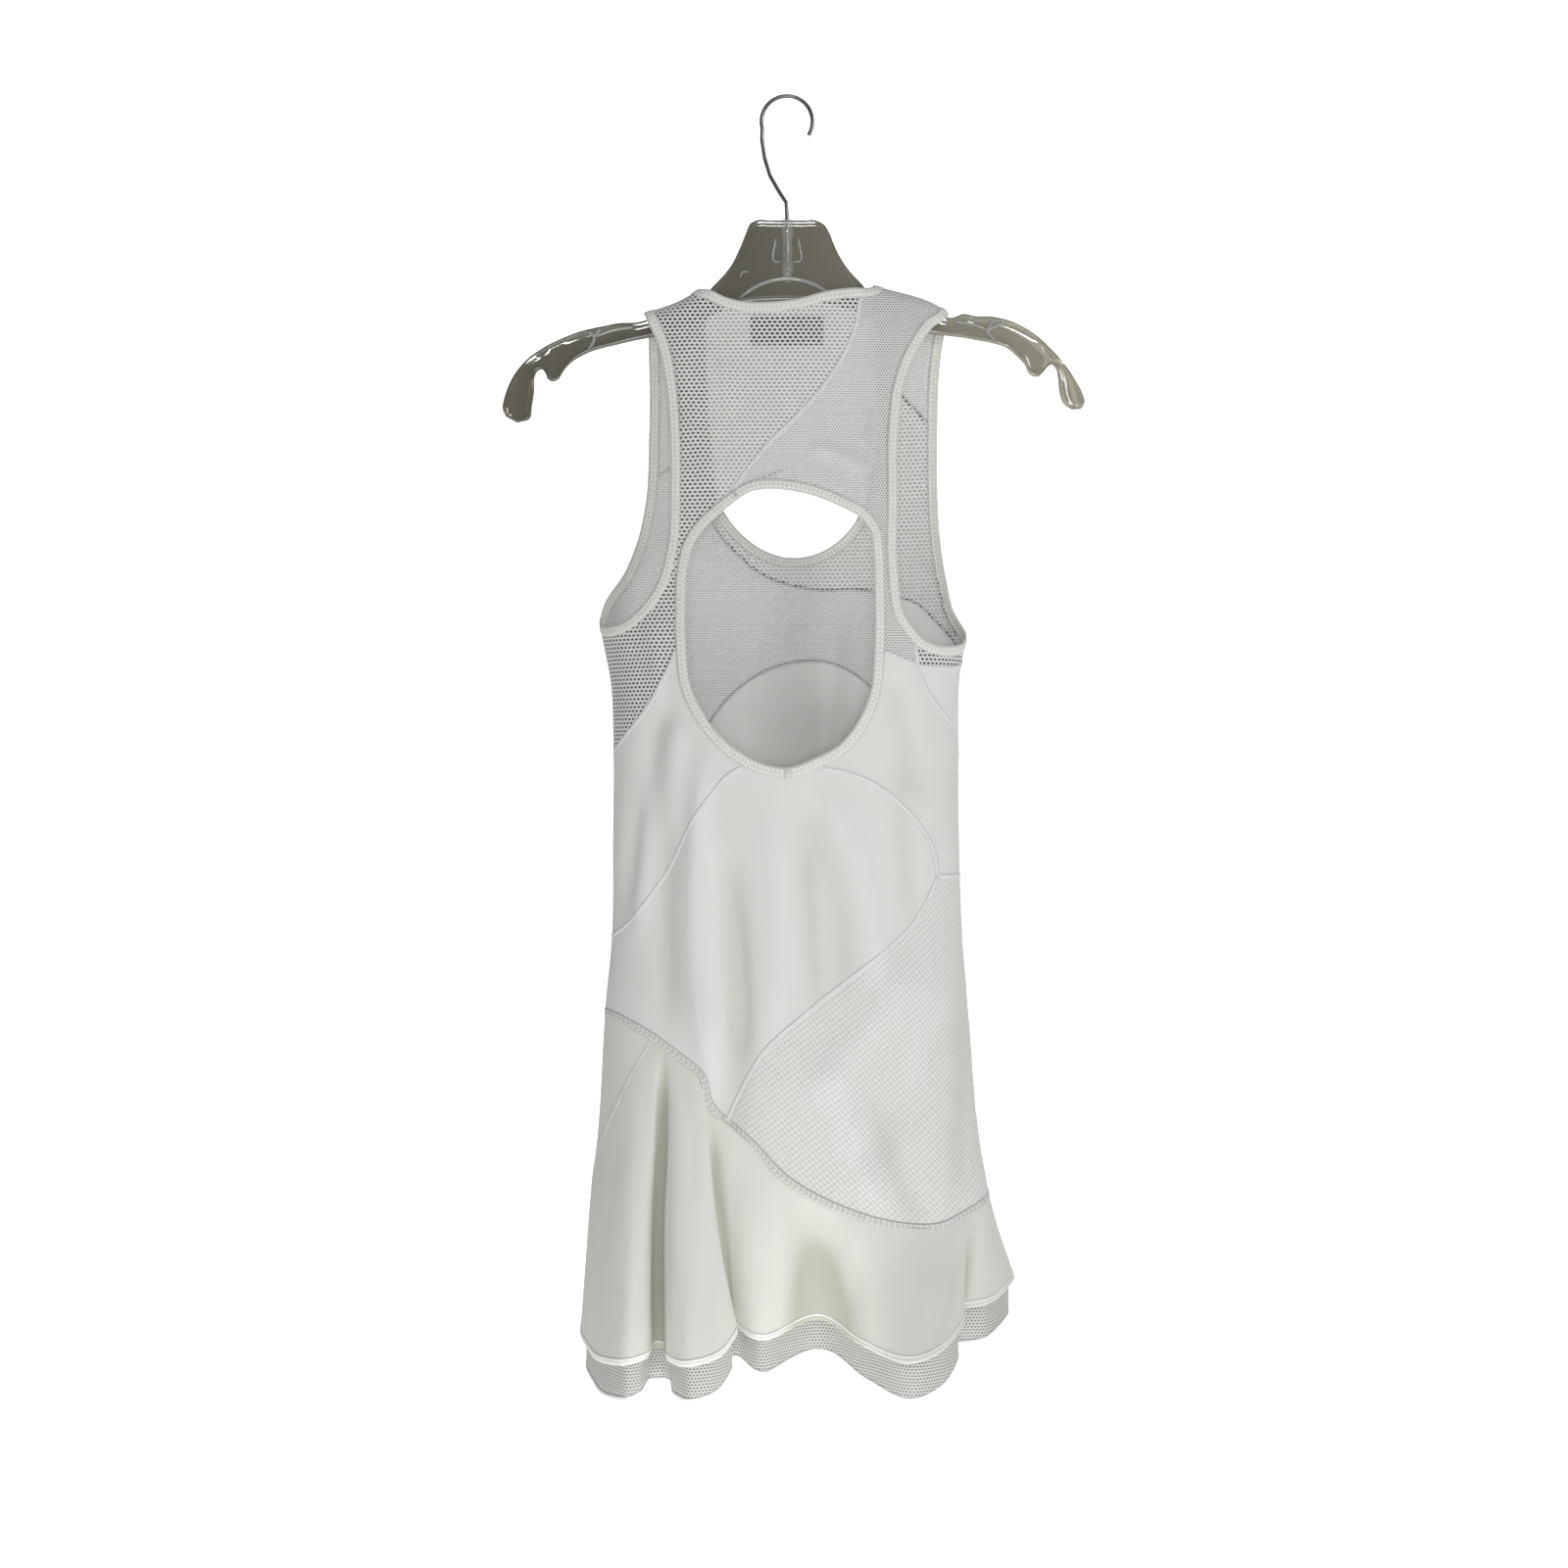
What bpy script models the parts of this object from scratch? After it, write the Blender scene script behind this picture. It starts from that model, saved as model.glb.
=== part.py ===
"""Tennis dress hanging on a clear plastic hanger, seen from its back.

The dress is cut as flat panels that meet along named seams, and every panel is
draped on one shared form: oval rings from shoulder to hem, a round cap over the
hanger's shoulders, and a short table of hanging folds.  The flounce leaves the
same form at its seam and opens into the waves of a second table.  Sizes are in
millimetres here and become metres when a mesh is made.

Frame: origin at the inside top of the hook, +Z up, +X to the wearer's right as
seen from behind, and the back of the dress towards -Y.
"""
import math

import bpy
import numpy as np
from mathutils.geometry import delaunay_2d_cdt

METRES = 0.001
WALL = 1.2               # thickness of the cloth
SEAM_GAP = 0.3           # clear distance between two pieces at a seam
BINDING_WIDTH = 7.5
BINDING_OUT = 0.5        # how far a binding stands proud of the cloth
BINDING_WALL = 2.2
SEAM_STEP = 12.5         # spacing of points along a seam
GRID_STEP = 21.0         # spacing of points inside a panel
UNDERLAYER_GAP = 3.4     # clear distance between flounce and underlayer
UNDERLAYER_LONGER = 24.0
UNDERLAYER_STEP = 11.0   # spacing of its points round the dress
WAVE_POINTS = 2.0        # and the points added in each wave row
CAP_RADIUS = 12.0        # round of the cloth over the hanger's shoulder
CAP_RISE = CAP_RADIUS * (math.pi / 2 - 1)
CAP_ROWS = (7.0, 16.0)   # extra rows of points that keep the cap round
ARCH = 135.0             # half width and half depth of a typical ring,
ARCH_DEPTH = 55.0        # used only to space points round the body

# Rings: height, left edge, right edge, depth to the back, depth to the front
RINGS = (
    (-920.0, -156.0, 170.0, 76.0, 73.0),
    (-820.0, -148.0, 151.0, 67.0, 64.0),
    (-765.0, -141.0, 142.0, 62.0, 60.0),
    (-677.0, -135.0, 135.0, 57.0, 56.0),
    (-619.0, -130.0, 130.0, 54.0, 54.0),
    (-546.0, -129.0, 128.0, 54.0, 54.0),
    (-481.0, -129.0, 127.5, 55.0, 56.0),
    (-437.0, -130.5, 128.0, 54.0, 56.0),
    (-393.0, -138.5, 134.0, 50.0, 52.0),
    (-320.0, -139.0, 136.0, 40.0, 44.0),
    (-260.0, -139.0, 138.0, 30.0, 34.0),
    (-200.0, -139.0, 140.0, 20.0, 22.0),
    (-160.0, -139.0, 141.0, 13.0, 13.0),
    (-120.0, -139.0, 141.0, 10.0, 10.0),
)

# Shoulder line over the hanger: x, height
SHOULDERS = (
    (-145.0, -178.0),
    (-107.0, -160.7),
    (-82.0, -152.0),
    (-66.0, -143.5),
    (-50.0, -136.0),
    (0.0, -130.0),
    (45.0, -133.0),
    (62.0, -139.3),
    (79.0, -143.0),
    (115.0, -156.2),
    (122.0, -162.5),
    (145.0, -176.0),
)

# Folds of the hanging cloth: side (-1 back, +1 front), upper end x and height,
# lower end x and height, bow to the right, half width, height of the fold
FOLDS = (
    (-1, -56.0, -475.0, -54.0, -735.0, -13.0, 9.0, 5.5),
    (-1, -50.0, -545.0, -30.0, -720.0, 3.0, 8.0, -5.0),
    (-1, -79.0, -455.0, -81.0, -560.0, -2.0, 8.0, 2.5),
    (-1, -87.0, -430.0, -120.0, -625.0, -3.0, 9.0, -4.5),
    (-1, 74.0, -420.0, 97.0, -525.0, 2.0, 8.0, -3.0),
    (-1, 4.0, -505.0, 41.0, -665.0, 9.0, 10.0, -5.0),
    (-1, 22.0, -505.0, 64.0, -670.0, 9.0, 9.0, 2.5),
    (-1, 96.0, -630.0, 8.0, -745.0, 4.0, 13.0, 2.5),
    (-1, 118.0, -660.0, 44.0, -800.0, 6.0, 13.0, -2.5),
    (1, -55.0, -430.0, -70.0, -720.0, 4.0, 14.0, 4.0),
    (1, 8.0, -360.0, 22.0, -700.0, -6.0, 15.0, -4.5),
    (1, 70.0, -430.0, 62.0, -780.0, 5.0, 14.0, 4.0),
)

# Places where seams meet: how placed, first value, height.  "B" and "F" give x
# on the back or front, "A" gives degrees round the body from the centre back,
# and a height of TOP is the shoulder line.
TOP = 0.0
CORNERS = {
    "neck_left": ("B", -71.0, TOP),
    "neck_right": ("B", 71.0, TOP),
    "arm_left": ("B", -99.5, TOP),
    "arm_right": ("B", 114.5, TOP),
    "yoke_top": ("B", 54.2, -150.5),
    "key_top": ("B", -40.7, -298.0),
    "key_diagonal": ("B", -80.2, -412.8),
    "key_arch_left": ("B", -31.0, -497.5),
    "key_arch_right": ("B", 22.0, -498.5),
    "key_fine": ("B", 70.1, -414.3),
    "armpit_left": ("A", -101.0, -391.0),
    "diagonal_end": ("A", -101.0, -490.0),
    "arch_end": ("A", -101.0, -624.0),
    "hem_left": ("A", -101.0, -676.5),
    "gusset_top": ("B", 93.2, -408.8),
    "gusset_middle": ("B", 95.3, -424.2),
    "waist": ("B", 110.0, -577.5),
    "waist_end": ("A", 96.0, -577.5),
    "hem_right": ("A", 95.0, -811.0),
    "waffle_low": ("B", -43.6, -752.5),
    "gore_top": ("B", -95.9, -694.0),
    "front_yoke_left": ("F", -60.5, -295.0),
    "front_fine_neck": ("F", 74.5, -205.0),
    "front_fine_arm": ("F", 105.8, -238.5),
    "yoke_finger": ("F", 79.0, -366.5),
    "chest_right": ("F", 77.0, -458.0),
}

# Seams: first corner, the points between, last corner
SEAMS = {
    "shoulder_left": ("arm_left", (("B", -85.0, TOP),), "neck_left"),
    "shoulder_right": ("neck_right", (("B", 93.0, TOP),), "arm_right"),
    "neck_back_left": ("neck_left", (
        ("B", -69.0, -148.3), ("B", -60.1, -151.4), ("B", -49.2, -157.1),
        ("B", -37.6, -160.5), ("B", -16.6, -162.0), ("B", 12.3, -158.6),
        ("B", 30.0, -153.6)), "yoke_top"),
    "neck_back_right": ("yoke_top", (
        ("B", 63.0, -149.2), ("B", 70.0, -145.8)), "neck_right"),
    "yoke": ("yoke_top", (
        ("B", 51.2, -169.8), ("B", 38.1, -201.3), ("B", 13.6, -234.0),
        ("B", -16.5, -265.0)), "key_top"),
    "key_upper_left": ("key_top", (
        ("B", -57.8, -311.9), ("B", -67.0, -321.2), ("B", -74.9, -334.1),
        ("B", -79.4, -352.0), ("B", -81.0, -385.0)), "key_diagonal"),
    "key_lower_left": ("key_diagonal", (
        ("B", -77.3, -438.4), ("B", -65.1, -464.8), ("B", -47.5, -485.8)),
        "key_arch_left"),
    "key_bottom": ("key_arch_left", (
        ("B", -18.4, -502.8), ("B", 0.6, -505.5)), "key_arch_right"),
    "key_lower_right": ("key_arch_right", (
        ("B", 41.4, -488.0), ("B", 57.0, -469.1), ("B", 67.1, -444.7)),
        "key_fine"),
    "key_upper_right": ("key_fine", (
        ("B", 70.6, -372.2), ("B", 69.7, -342.0), ("B", 67.4, -324.7),
        ("B", 58.7, -311.7), ("B", 40.4, -301.3), ("B", 8.5, -290.5),
        ("B", -16.5, -288.5), ("B", -28.6, -290.6)), "key_top"),
    "arm_left_back": ("arm_left", (
        ("B", -97.0, -163.5), ("B", -89.7, -179.5), ("B", -82.0, -214.0),
        ("B", -79.0, -247.2), ("B", -78.0, -294.8), ("B", -80.6, -341.9),
        ("B", -87.5, -365.9), ("B", -105.0, -389.4), ("B", -121.0, -399.8),
        ("A", -80.0, -400.5)), "armpit_left"),
    "arm_left_front": ("armpit_left", (
        ("F", -131.0, -377.0), ("F", -118.8, -358.5), ("F", -107.0, -331.0),
        ("F", -99.8, -300.0), ("F", -96.5, -250.0), ("F", -96.0, -195.0),
        ("F", -97.3, -163.0)), "arm_left"),
    "arm_right_back": ("arm_right", (
        ("B", 112.0, -160.5), ("B", 104.0, -166.0), ("B", 92.0, -182.0),
        ("B", 79.2, -212.6), ("B", 74.5, -247.0), ("B", 73.4, -300.0),
        ("B", 73.9, -362.1), ("B", 77.5, -386.5)), "gusset_top"),
    "arm_right_under": ("gusset_top", (
        ("B", 103.5, -414.3), ("B", 115.0, -416.3), ("A", 78.0, -414.0),
        ("A", 93.0, -407.0), ("F", 119.7, -382.5), ("F", 113.8, -358.0),
        ("F", 108.6, -324.0), ("F", 106.2, -285.0)), "front_fine_arm"),
    "arm_right_front": ("front_fine_arm", (
        ("F", 106.9, -200.0), ("F", 110.0, -175.0), ("F", 112.5, -162.5)),
        "arm_right"),
    "diagonal": ("key_diagonal", (
        ("B", -96.9, -446.6), ("B", -112.0, -467.0), ("A", -80.0, -484.5)),
        "diagonal_end"),
    "arch_left": ("key_arch_left", (
        ("B", -41.6, -503.2), ("B", -58.0, -523.1), ("B", -76.6, -553.2),
        ("B", -94.7, -584.7), ("B", -110.5, -606.4), ("A", -80.0, -621.0)),
        "arch_end"),
    "arch_right": ("key_arch_right", (
        ("B", 50.7, -504.4), ("B", 76.3, -519.1), ("B", 95.3, -538.0),
        ("B", 108.0, -562.0)), "waist"),
    "waist_right": ("waist", (("A", 80.0, -577.5),), "waist_end"),
    "waffle": ("waist", (
        ("B", 92.4, -610.3), ("B", 59.2, -639.2), ("B", 16.1, -672.7),
        ("B", -19.0, -705.2), ("B", -33.8, -731.1)), "waffle_low"),
    "flounce_gore": ("hem_left", (
        ("A", -90.0, -678.3), ("B", -127.5, -679.6), ("B", -113.4, -685.0)),
        "gore_top"),
    "flounce_left": ("gore_top", (
        ("B", -76.5, -707.5), ("B", -61.1, -719.4), ("B", -55.5, -739.7)),
        "waffle_low"),
    "flounce_right": ("waffle_low", (
        ("B", -24.8, -768.1), ("B", -2.9, -790.4), ("B", 34.6, -812.0),
        ("B", 79.2, -826.6), ("B", 108.1, -829.5), ("B", 134.2, -821.0)),
        "hem_right"),
    "flounce_front": ("hem_right", (
        ("A", 120.0, -804.0), ("A", 150.0, -786.0), ("A", 180.0, -758.0),
        ("A", 210.0, -724.0), ("A", 240.0, -690.0)), "hem_left"),
    "fine_bottom": ("key_fine", (("B", 82.0, -419.0),), "gusset_middle"),
    "gusset": ("gusset_top", (), "gusset_middle"),
    "side_right": ("gusset_middle", (
        ("B", 103.5, -444.3), ("B", 114.3, -457.9), ("A", 82.0, -476.0),
        ("A", 95.0, -496.0), ("A", 97.0, -530.0)), "waist_end"),
    "skirt_right": ("waist_end", (("A", 96.0, -700.0),), "hem_right"),
    "side_left_top": ("armpit_left", (("A", -101.0, -440.0),), "diagonal_end"),
    "side_left": ("diagonal_end", (("A", -101.0, -555.0),), "arch_end"),
    "side_left_low": ("arch_end", (("A", -101.0, -650.0),), "hem_left"),
    "neck_front_left": ("neck_left", (
        ("F", -69.5, -148.5), ("F", -68.5, -185.0), ("F", -65.5, -245.0)),
        "front_yoke_left"),
    "neck_front": ("front_yoke_left", (
        ("F", -42.8, -321.5), ("F", -24.7, -336.0), ("F", -2.2, -344.0),
        ("F", 18.5, -343.0), ("F", 37.2, -335.3), ("F", 55.8, -318.0),
        ("F", 69.0, -288.0), ("F", 74.5, -245.0)), "front_fine_neck"),
    "neck_front_right": ("front_fine_neck", (
        ("F", 72.5, -165.0), ("F", 71.3, -146.0)), "neck_right"),
    "front_yoke": ("front_yoke_left", (
        ("F", -54.3, -314.5), ("F", -36.6, -335.5), ("F", -20.9, -348.3), ("F", 0.1, -357.0),
        ("F", 24.8, -361.3), ("F", 56.2, -361.6)), "yoke_finger"),
    "front_yoke_side": ("yoke_finger", (
        ("F", 98.8, -373.8), ("F", 112.0, -387.0), ("A", 104.0, -408.0),
        ("A", 88.0, -420.5), ("B", 115.0, -425.2)), "gusset_middle"),
    "front_fine": ("front_fine_neck", (("F", 89.6, -220.9),),
                   "front_fine_arm"),
    "finger": ("yoke_finger", (("F", 78.0, -410.0),), "chest_right"),
    "front_arch": ("chest_right", (
        ("F", 64.6, -437.0), ("F", 45.9, -422.3), ("F", 27.9, -416.2),
        ("F", 5.1, -416.3), ("F", -20.2, -425.0), ("F", -45.2, -444.1),
        ("F", -66.7, -474.4), ("F", -88.0, -522.0), ("F", -110.0, -586.0)),
        "arch_end"),
}

# Panels: their seams in order round the outline; a minus turns a seam round
PANELS = {
    "back_yoke_coarse": ("shoulder_left", "neck_back_left", "yoke",
                         "key_upper_left", "diagonal", "-side_left_top",
                         "-arm_left_back"),
    "back_yoke_fine": ("neck_back_right", "shoulder_right", "arm_right_back",
                       "gusset", "-fine_bottom", "key_upper_right", "-yoke"),
    "back_side_left": ("key_lower_left", "arch_left", "-side_left",
                       "-diagonal"),
    "back_centre": ("key_bottom", "arch_right", "waffle", "-flounce_left",
                    "-flounce_gore", "-side_left_low", "-arch_left"),
    "back_side_right": ("fine_bottom", "side_right", "-waist_right",
                        "-arch_right", "key_lower_right"),
    "back_skirt_waffle": ("waist_right", "skirt_right", "-flounce_right",
                          "-waffle"),
    "front_shoulder_right": ("shoulder_right", "-arm_right_front",
                             "-front_fine", "neck_front_right"),
    "front_yoke_coarse": ("neck_front", "front_fine", "-arm_right_under",
                          "gusset", "-front_yoke_side", "-front_yoke"),
    "front_chest_fine": ("neck_front_left", "front_yoke", "finger",
                         "front_arch", "-side_left", "-side_left_top",
                         "arm_left_front", "shoulder_left"),
    "front_body": ("front_yoke_side", "side_right", "skirt_right",
                   "flounce_front", "-side_left_low", "-front_arch",
                   "-finger"),
}

# Bindings: seams along the cloth, in order, and whether the strip is a ring
BINDINGS = {
    "binding_neck_back": (("neck_back_left", "neck_back_right"), False),
    "binding_neck_front": (("-neck_front_right", "-neck_front",
                            "-neck_front_left"), False),
    "binding_arm_left": (("-arm_left_front", "-arm_left_back"), True),
    "binding_arm_right": (("arm_right_back", "arm_right_under",
                           "arm_right_front"), True),
    "binding_keyhole": (("key_upper_left", "key_lower_left", "key_bottom",
                         "key_lower_right", "key_upper_right"), True),
}

# Flounce waves, one row for each crest, trough and flank: degrees round the
# body where it leaves the seam, then x, y and height where it meets the hem
WAVES = (
    (-90.0, -151.8, -18.0, -914.0),    # left side
    (-68.0, -137.0, -68.0, -919.0),    # first lobe
    (-54.0, -116.0, -98.0, -916.0),
    (-45.5, -100.0, -93.0, -913.0),
    (-41.0, -91.0, -68.0, -911.0),     # deep fold
    (-37.0, -82.5, -90.0, -915.0),     # second lobe
    (-32.0, -68.0, -109.0, -914.0),
    (-27.5, -46.0, -102.0, -908.5),
    (-24.0, -33.5, -80.0, -896.0),
    (-19.0, -38.0, -60.0, -897.0),     # its hidden inner fold
    (-9.0, -16.0, -76.0, -904.0),     # third lobe
    (6.0, 22.5, -49.0, -896.5),        # shallow recess
    (20.0, 53.0, -76.0, -908.0),       # fourth lobe
    (35.0, 84.0, -102.0, -913.6),
    (49.0, 111.0, -92.0, -905.5),
    (59.0, 127.0, -69.0, -890.0),
    (65.0, 125.0, -48.0, -889.5),      # fold before the side
    (76.0, 150.0, -40.0, -885.0),      # fifth lobe
    (90.0, 169.0, 0.0, -876.0),        # right side
    (108.0, 160.0, 40.0, -880.0),      # front, out of sight
    (122.0, 122.0, 86.0, -885.0),
    (133.0, 96.0, 60.0, -889.0),
    (145.0, 66.0, 98.0, -893.0),
    (158.0, 34.0, 64.0, -898.0),
    (172.0, 2.0, 101.0, -901.0),
    (186.0, -34.0, 66.0, -905.0),
    (200.0, -66.0, 96.0, -908.0),
    (214.0, -94.0, 74.0, -911.0),
    (232.0, -124.0, 66.0, -914.0),
    (252.0, -147.0, 28.0, -914.0),
)
WAVE_SPREAD = 1.25       # how slowly a wave opens below the seam
WAVE_PITCH = 21.0        # chart width of one row of the wave table
FLOUNCE_CHART = 190.0    # chart height of the flounce
GORE_HEM_WAVE = -2.1     # where the gore seam meets the hem, in wave rows
SIDE_WAVE = 18.5         # hidden seam of the flounce behind the right side

# Hanger, from its left tip to its right: top x and height, bottom x and height
HANGER = (
    (-204.0, -242.0, -194.0, -242.5),
    (-211.0, -232.5, -189.0, -229.5),
    (-205.5, -217.0, -187.0, -211.5),
    (-197.0, -206.0, -182.5, -205.0),
    (-187.5, -197.0, -177.0, -203.0),
    (-180.0, -190.5, -170.5, -206.0),
    (-170.0, -182.0, -163.5, -203.0),
    (-148.0, -172.0, -148.0, -194.0),
    (-127.0, -167.5, -134.0, -187.5),
    (-112.0, -167.5, -113.0, -181.5),
    (-104.0, -165.3, -103.0, -180.0),
    (-82.0, -155.9, -82.0, -174.0),
    (-64.0, -149.5, -66.0, -168.5),
    (-54.5, -139.5, -52.0, -160.5),
    (-39.5, -121.0, -38.0, -154.5),
    (-30.0, -100.0, -30.5, -153.0),
    (-26.0, -91.5, -24.0, -152.2),
    (-12.0, -91.0, -11.5, -151.5),
    (12.0, -91.0, 11.5, -151.5),
    (25.0, -91.5, 24.0, -152.2),
    (31.0, -98.0, 30.5, -153.0),
    (40.0, -119.0, 38.0, -154.5),
    (54.5, -137.0, 51.0, -158.5),
    (66.0, -149.5, 64.0, -167.0),
    (85.0, -148.7, 85.0, -171.0),
    (105.0, -158.6, 104.0, -176.0),
    (121.0, -167.0, 120.0, -179.5),
    (129.5, -163.0, 128.0, -179.5),
    (154.5, -162.0, 153.0, -184.5),
    (178.5, -172.0, 172.5, -196.0),
    (187.5, -178.5, 177.5, -199.5),
    (197.0, -187.5, 185.0, -203.0),
    (206.5, -197.0, 192.0, -200.5),
    (212.5, -206.0, 198.5, -206.0),
    (221.0, -223.5, 200.0, -223.5),
    (218.0, -229.5, 207.0, -232.5),
)
HANGER_HALF = 2.7        # half thickness at the rim
HANGER_WEB_HALF = 1.1
HANGER_RIM = 2.2         # width of the raised rim
HUB_RADIUS = 4.8
HUB_TOP = -90.5
HUB_LENGTH = 48.0
BRACKET = (16.0, 9.0, 17.0)
BRACKET_CENTRE = -113.5
BORE_RADIUS = 2.7
BORE_DEPTH = 33.0
WIRE_RADIUS = 1.5
COLLAR_SWELL = 1.45
HOOK_RADIUS = 19.0
HOOK_END_DEGREES = -32.0
# The hook's shank from inside the hub up to where its circle begins: x, height
SHANK = (
    (0.0, -122.0),
    (0.0, -117.0),
    (0.0, -116.0),
    (0.0, -107.0),
    (0.0, -106.0),
    (0.0, -88.0),
    (-0.5, -78.0),
    (-6.0, -69.5),
    (-12.5, -58.0),
    (-16.5, -45.0),
    (-18.6, -31.0),
)
LABEL = (-27.0, 27.0, -186.0, -163.5)    # left, right, bottom, top
LABEL_WALL = 1.0

# Materials: base colour, roughness, metallic, alpha
LOOKS = {
    "mesh_coarse_white": ((0.50, 0.50, 0.49), 0.75, 0.0, 1.0),
    "mesh_fine_white": ((0.56, 0.56, 0.55), 0.75, 0.0, 1.0),
    "jersey_white": ((0.76, 0.78, 0.75), 0.8, 0.0, 1.0),
    "waffle_white": ((0.74, 0.76, 0.73), 0.85, 0.0, 1.0),
    "flounce_white": ((0.76, 0.77, 0.71), 0.8, 0.0, 1.0),
    "mesh_hem_white": ((0.62, 0.62, 0.58), 0.8, 0.0, 1.0),
    "binding_white": ((0.80, 0.81, 0.79), 0.7, 0.0, 1.0),
    "label_dark": ((0.03, 0.03, 0.035), 0.6, 0.0, 1.0),
    "hanger_clear": ((0.35, 0.35, 0.31), 0.15, 0.0, 0.6),
    "hook_steel": ((0.45, 0.44, 0.40), 0.3, 1.0, 1.0),
}
MATERIAL_OF = {
    "back_yoke_coarse": "mesh_coarse_white",
    "front_yoke_coarse": "mesh_coarse_white",
    "back_yoke_fine": "mesh_fine_white",
    "front_shoulder_right": "mesh_fine_white",
    "front_chest_fine": "mesh_fine_white",
    "back_side_left": "jersey_white",
    "back_side_right": "jersey_white",
    "back_centre": "jersey_white",
    "front_body": "jersey_white",
    "back_skirt_waffle": "waffle_white",
    "flounce_back": "flounce_white",
    "flounce_front": "flounce_white",
    "underflounce_back": "mesh_hem_white",
    "underflounce_front": "mesh_hem_white",
    "neck_label": "label_dark",
    "hanger_body": "hanger_clear",
    "hanger_hook": "hook_steel",
}


# Curves and tables.

def spline(points, per_span=16):
    """Smooth curve through points (n, k): cubic spans with averaged slopes."""
    points = np.asarray(points, float)
    if len(points) == 2:
        share = np.linspace(0, 1, per_span + 1)[:, None]
        return points[0] * (1 - share) + points[1] * share
    length = np.linalg.norm(np.diff(points, axis=0), axis=1)
    rate = np.diff(points, axis=0) / length[:, None]
    slope = np.empty_like(points)
    before, after = length[:-1, None], length[1:, None]
    slope[1:-1] = (rate[:-1] * after + rate[1:] * before) / (before + after)
    slope[0] = 1.5 * rate[0] - 0.5 * slope[1]
    slope[-1] = 1.5 * rate[-1] - 0.5 * slope[-2]
    t = np.arange(per_span) / per_span
    t = t[None, :, None]
    start, end = points[:-1, None], points[1:, None]
    a = slope[:-1, None] * length[:, None, None]
    b = slope[1:, None] * length[:, None, None]
    curve = ((2 * t**3 - 3 * t**2 + 1) * start + (t**3 - 2 * t**2 + t) * a
             + (3 * t**2 - 2 * t**3) * end + (t**3 - t**2) * b)
    return np.vstack([curve.reshape(-1, points.shape[1]), points[-1:]])


def smooth_lookup(x, rows):
    """Each later column of the rows as a smooth function of the first."""
    rows = np.asarray(sorted(rows), float)
    dense = spline_over_first(rows)
    return [np.interp(x, dense[:, 0], dense[:, i])
            for i in range(1, rows.shape[1])]


def spline_over_first(rows, per_span=12):
    """Cubic through the rows with the first column as the running value."""
    x, values = rows[:, 0], rows[:, 1:]
    step = np.diff(x)
    rate = np.diff(values, axis=0) / step[:, None]
    slope = np.vstack([rate[:1], (rate[:-1] + rate[1:]) / 2, rate[-1:]])
    t = (np.arange(per_span) / per_span)[None, :, None]
    width = step[:, None, None]
    curve = ((2 * t**3 - 3 * t**2 + 1) * values[:-1, None]
             + (t**3 - 2 * t**2 + t) * slope[:-1, None] * width
             + (3 * t**2 - 2 * t**3) * values[1:, None]
             + (t**3 - t**2) * slope[1:, None] * width)
    places = x[:-1, None] + step[:, None] * t[0, :, 0][None, :]
    dense = np.column_stack([places.reshape(-1),
                             curve.reshape(-1, values.shape[1])])
    return np.vstack([dense, rows[-1:]])


def ease(value):
    """Smooth step from 0 to 1."""
    value = np.clip(value, 0.0, 1.0)
    return value * value * (3 - 2 * value)


# The form of the dress.

def ring(height):
    """Centre, half width, back depth and front depth at a height."""
    left, right, back, front = smooth_lookup(height, RINGS)
    return (left + right) / 2, (right - left) / 2, back, front


def shoulder(x):
    """Height of the shoulder line at x."""
    return smooth_lookup(x, SHOULDERS)[0]


def plain_body(angle, height):
    """Oval rings, closed over the shoulders by a quarter-round cap."""
    centre, half, back, front = ring(height)
    x = centre + half * np.sin(angle)
    top = shoulder(x)
    run = top + CAP_RISE - height
    turn = np.clip(run / CAP_RADIUS, 0.0, math.pi / 2)
    drop = np.where(turn < math.pi / 2, CAP_RADIUS * (1 - np.cos(turn)),
                    run - CAP_RISE)
    cosine = np.cos(angle)
    depth = np.where(cosine > 0, back, front)
    return np.stack([x, -depth * cosine * np.sin(turn), top - drop], -1)


def normals(surface, first, second, step_first, step_second):
    """Outward unit normals of a surface by central differences."""
    along = (surface(first + step_first, second)
             - surface(first - step_first, second))
    up = (surface(first, second + step_second)
          - surface(first, second - step_second))
    normal = np.cross(along, up)
    return normal / np.linalg.norm(normal, axis=-1, keepdims=True)


def fold_height(angle, height):
    """Sum of the folds at a place on the body."""
    centre, half, _, _ = ring(height)
    x = centre + half * np.sin(angle)
    facing = np.cos(angle)
    total = np.zeros_like(x)
    for side, x0, z0, x1, z1, bow, width, size in FOLDS:
        run_x, run_z = x1 - x0, z1 - z0
        length = math.hypot(run_x, run_z)
        share = ((x - x0) * run_x + (height - z0) * run_z) / length**2
        across = ((height - z0) * run_x - (x - x0) * run_z) / length
        bend = 4 * bow * np.clip(share, 0, 1) * (1 - np.clip(share, 0, 1))
        taper = ease(share / 0.25) * ease((1 - share) / 0.25)
        seen = ease(-side * facing / 0.25)
        total = total + size * taper * seen * np.exp(
            -((across - bend) / width)**2)
    return total


def body(angle, height):
    """A place on the draped dress, folds included."""
    normal = normals(plain_body, angle, height, 1e-3, 0.1)
    return (plain_body(angle, height)
            + normal * fold_height(angle, height)[..., None])


def body_normal(angle, height):
    return normals(body, angle, height, 2e-3, 0.2)


ARC_ANGLE = np.linspace(-2 * math.pi, 4 * math.pi, 6001)
ARC_LENGTH = np.concatenate([[0.0], np.cumsum(np.hypot(
    ARCH * np.cos(ARC_ANGLE[:-1]), ARCH_DEPTH * np.sin(ARC_ANGLE[:-1]))
    * np.diff(ARC_ANGLE))])


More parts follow.
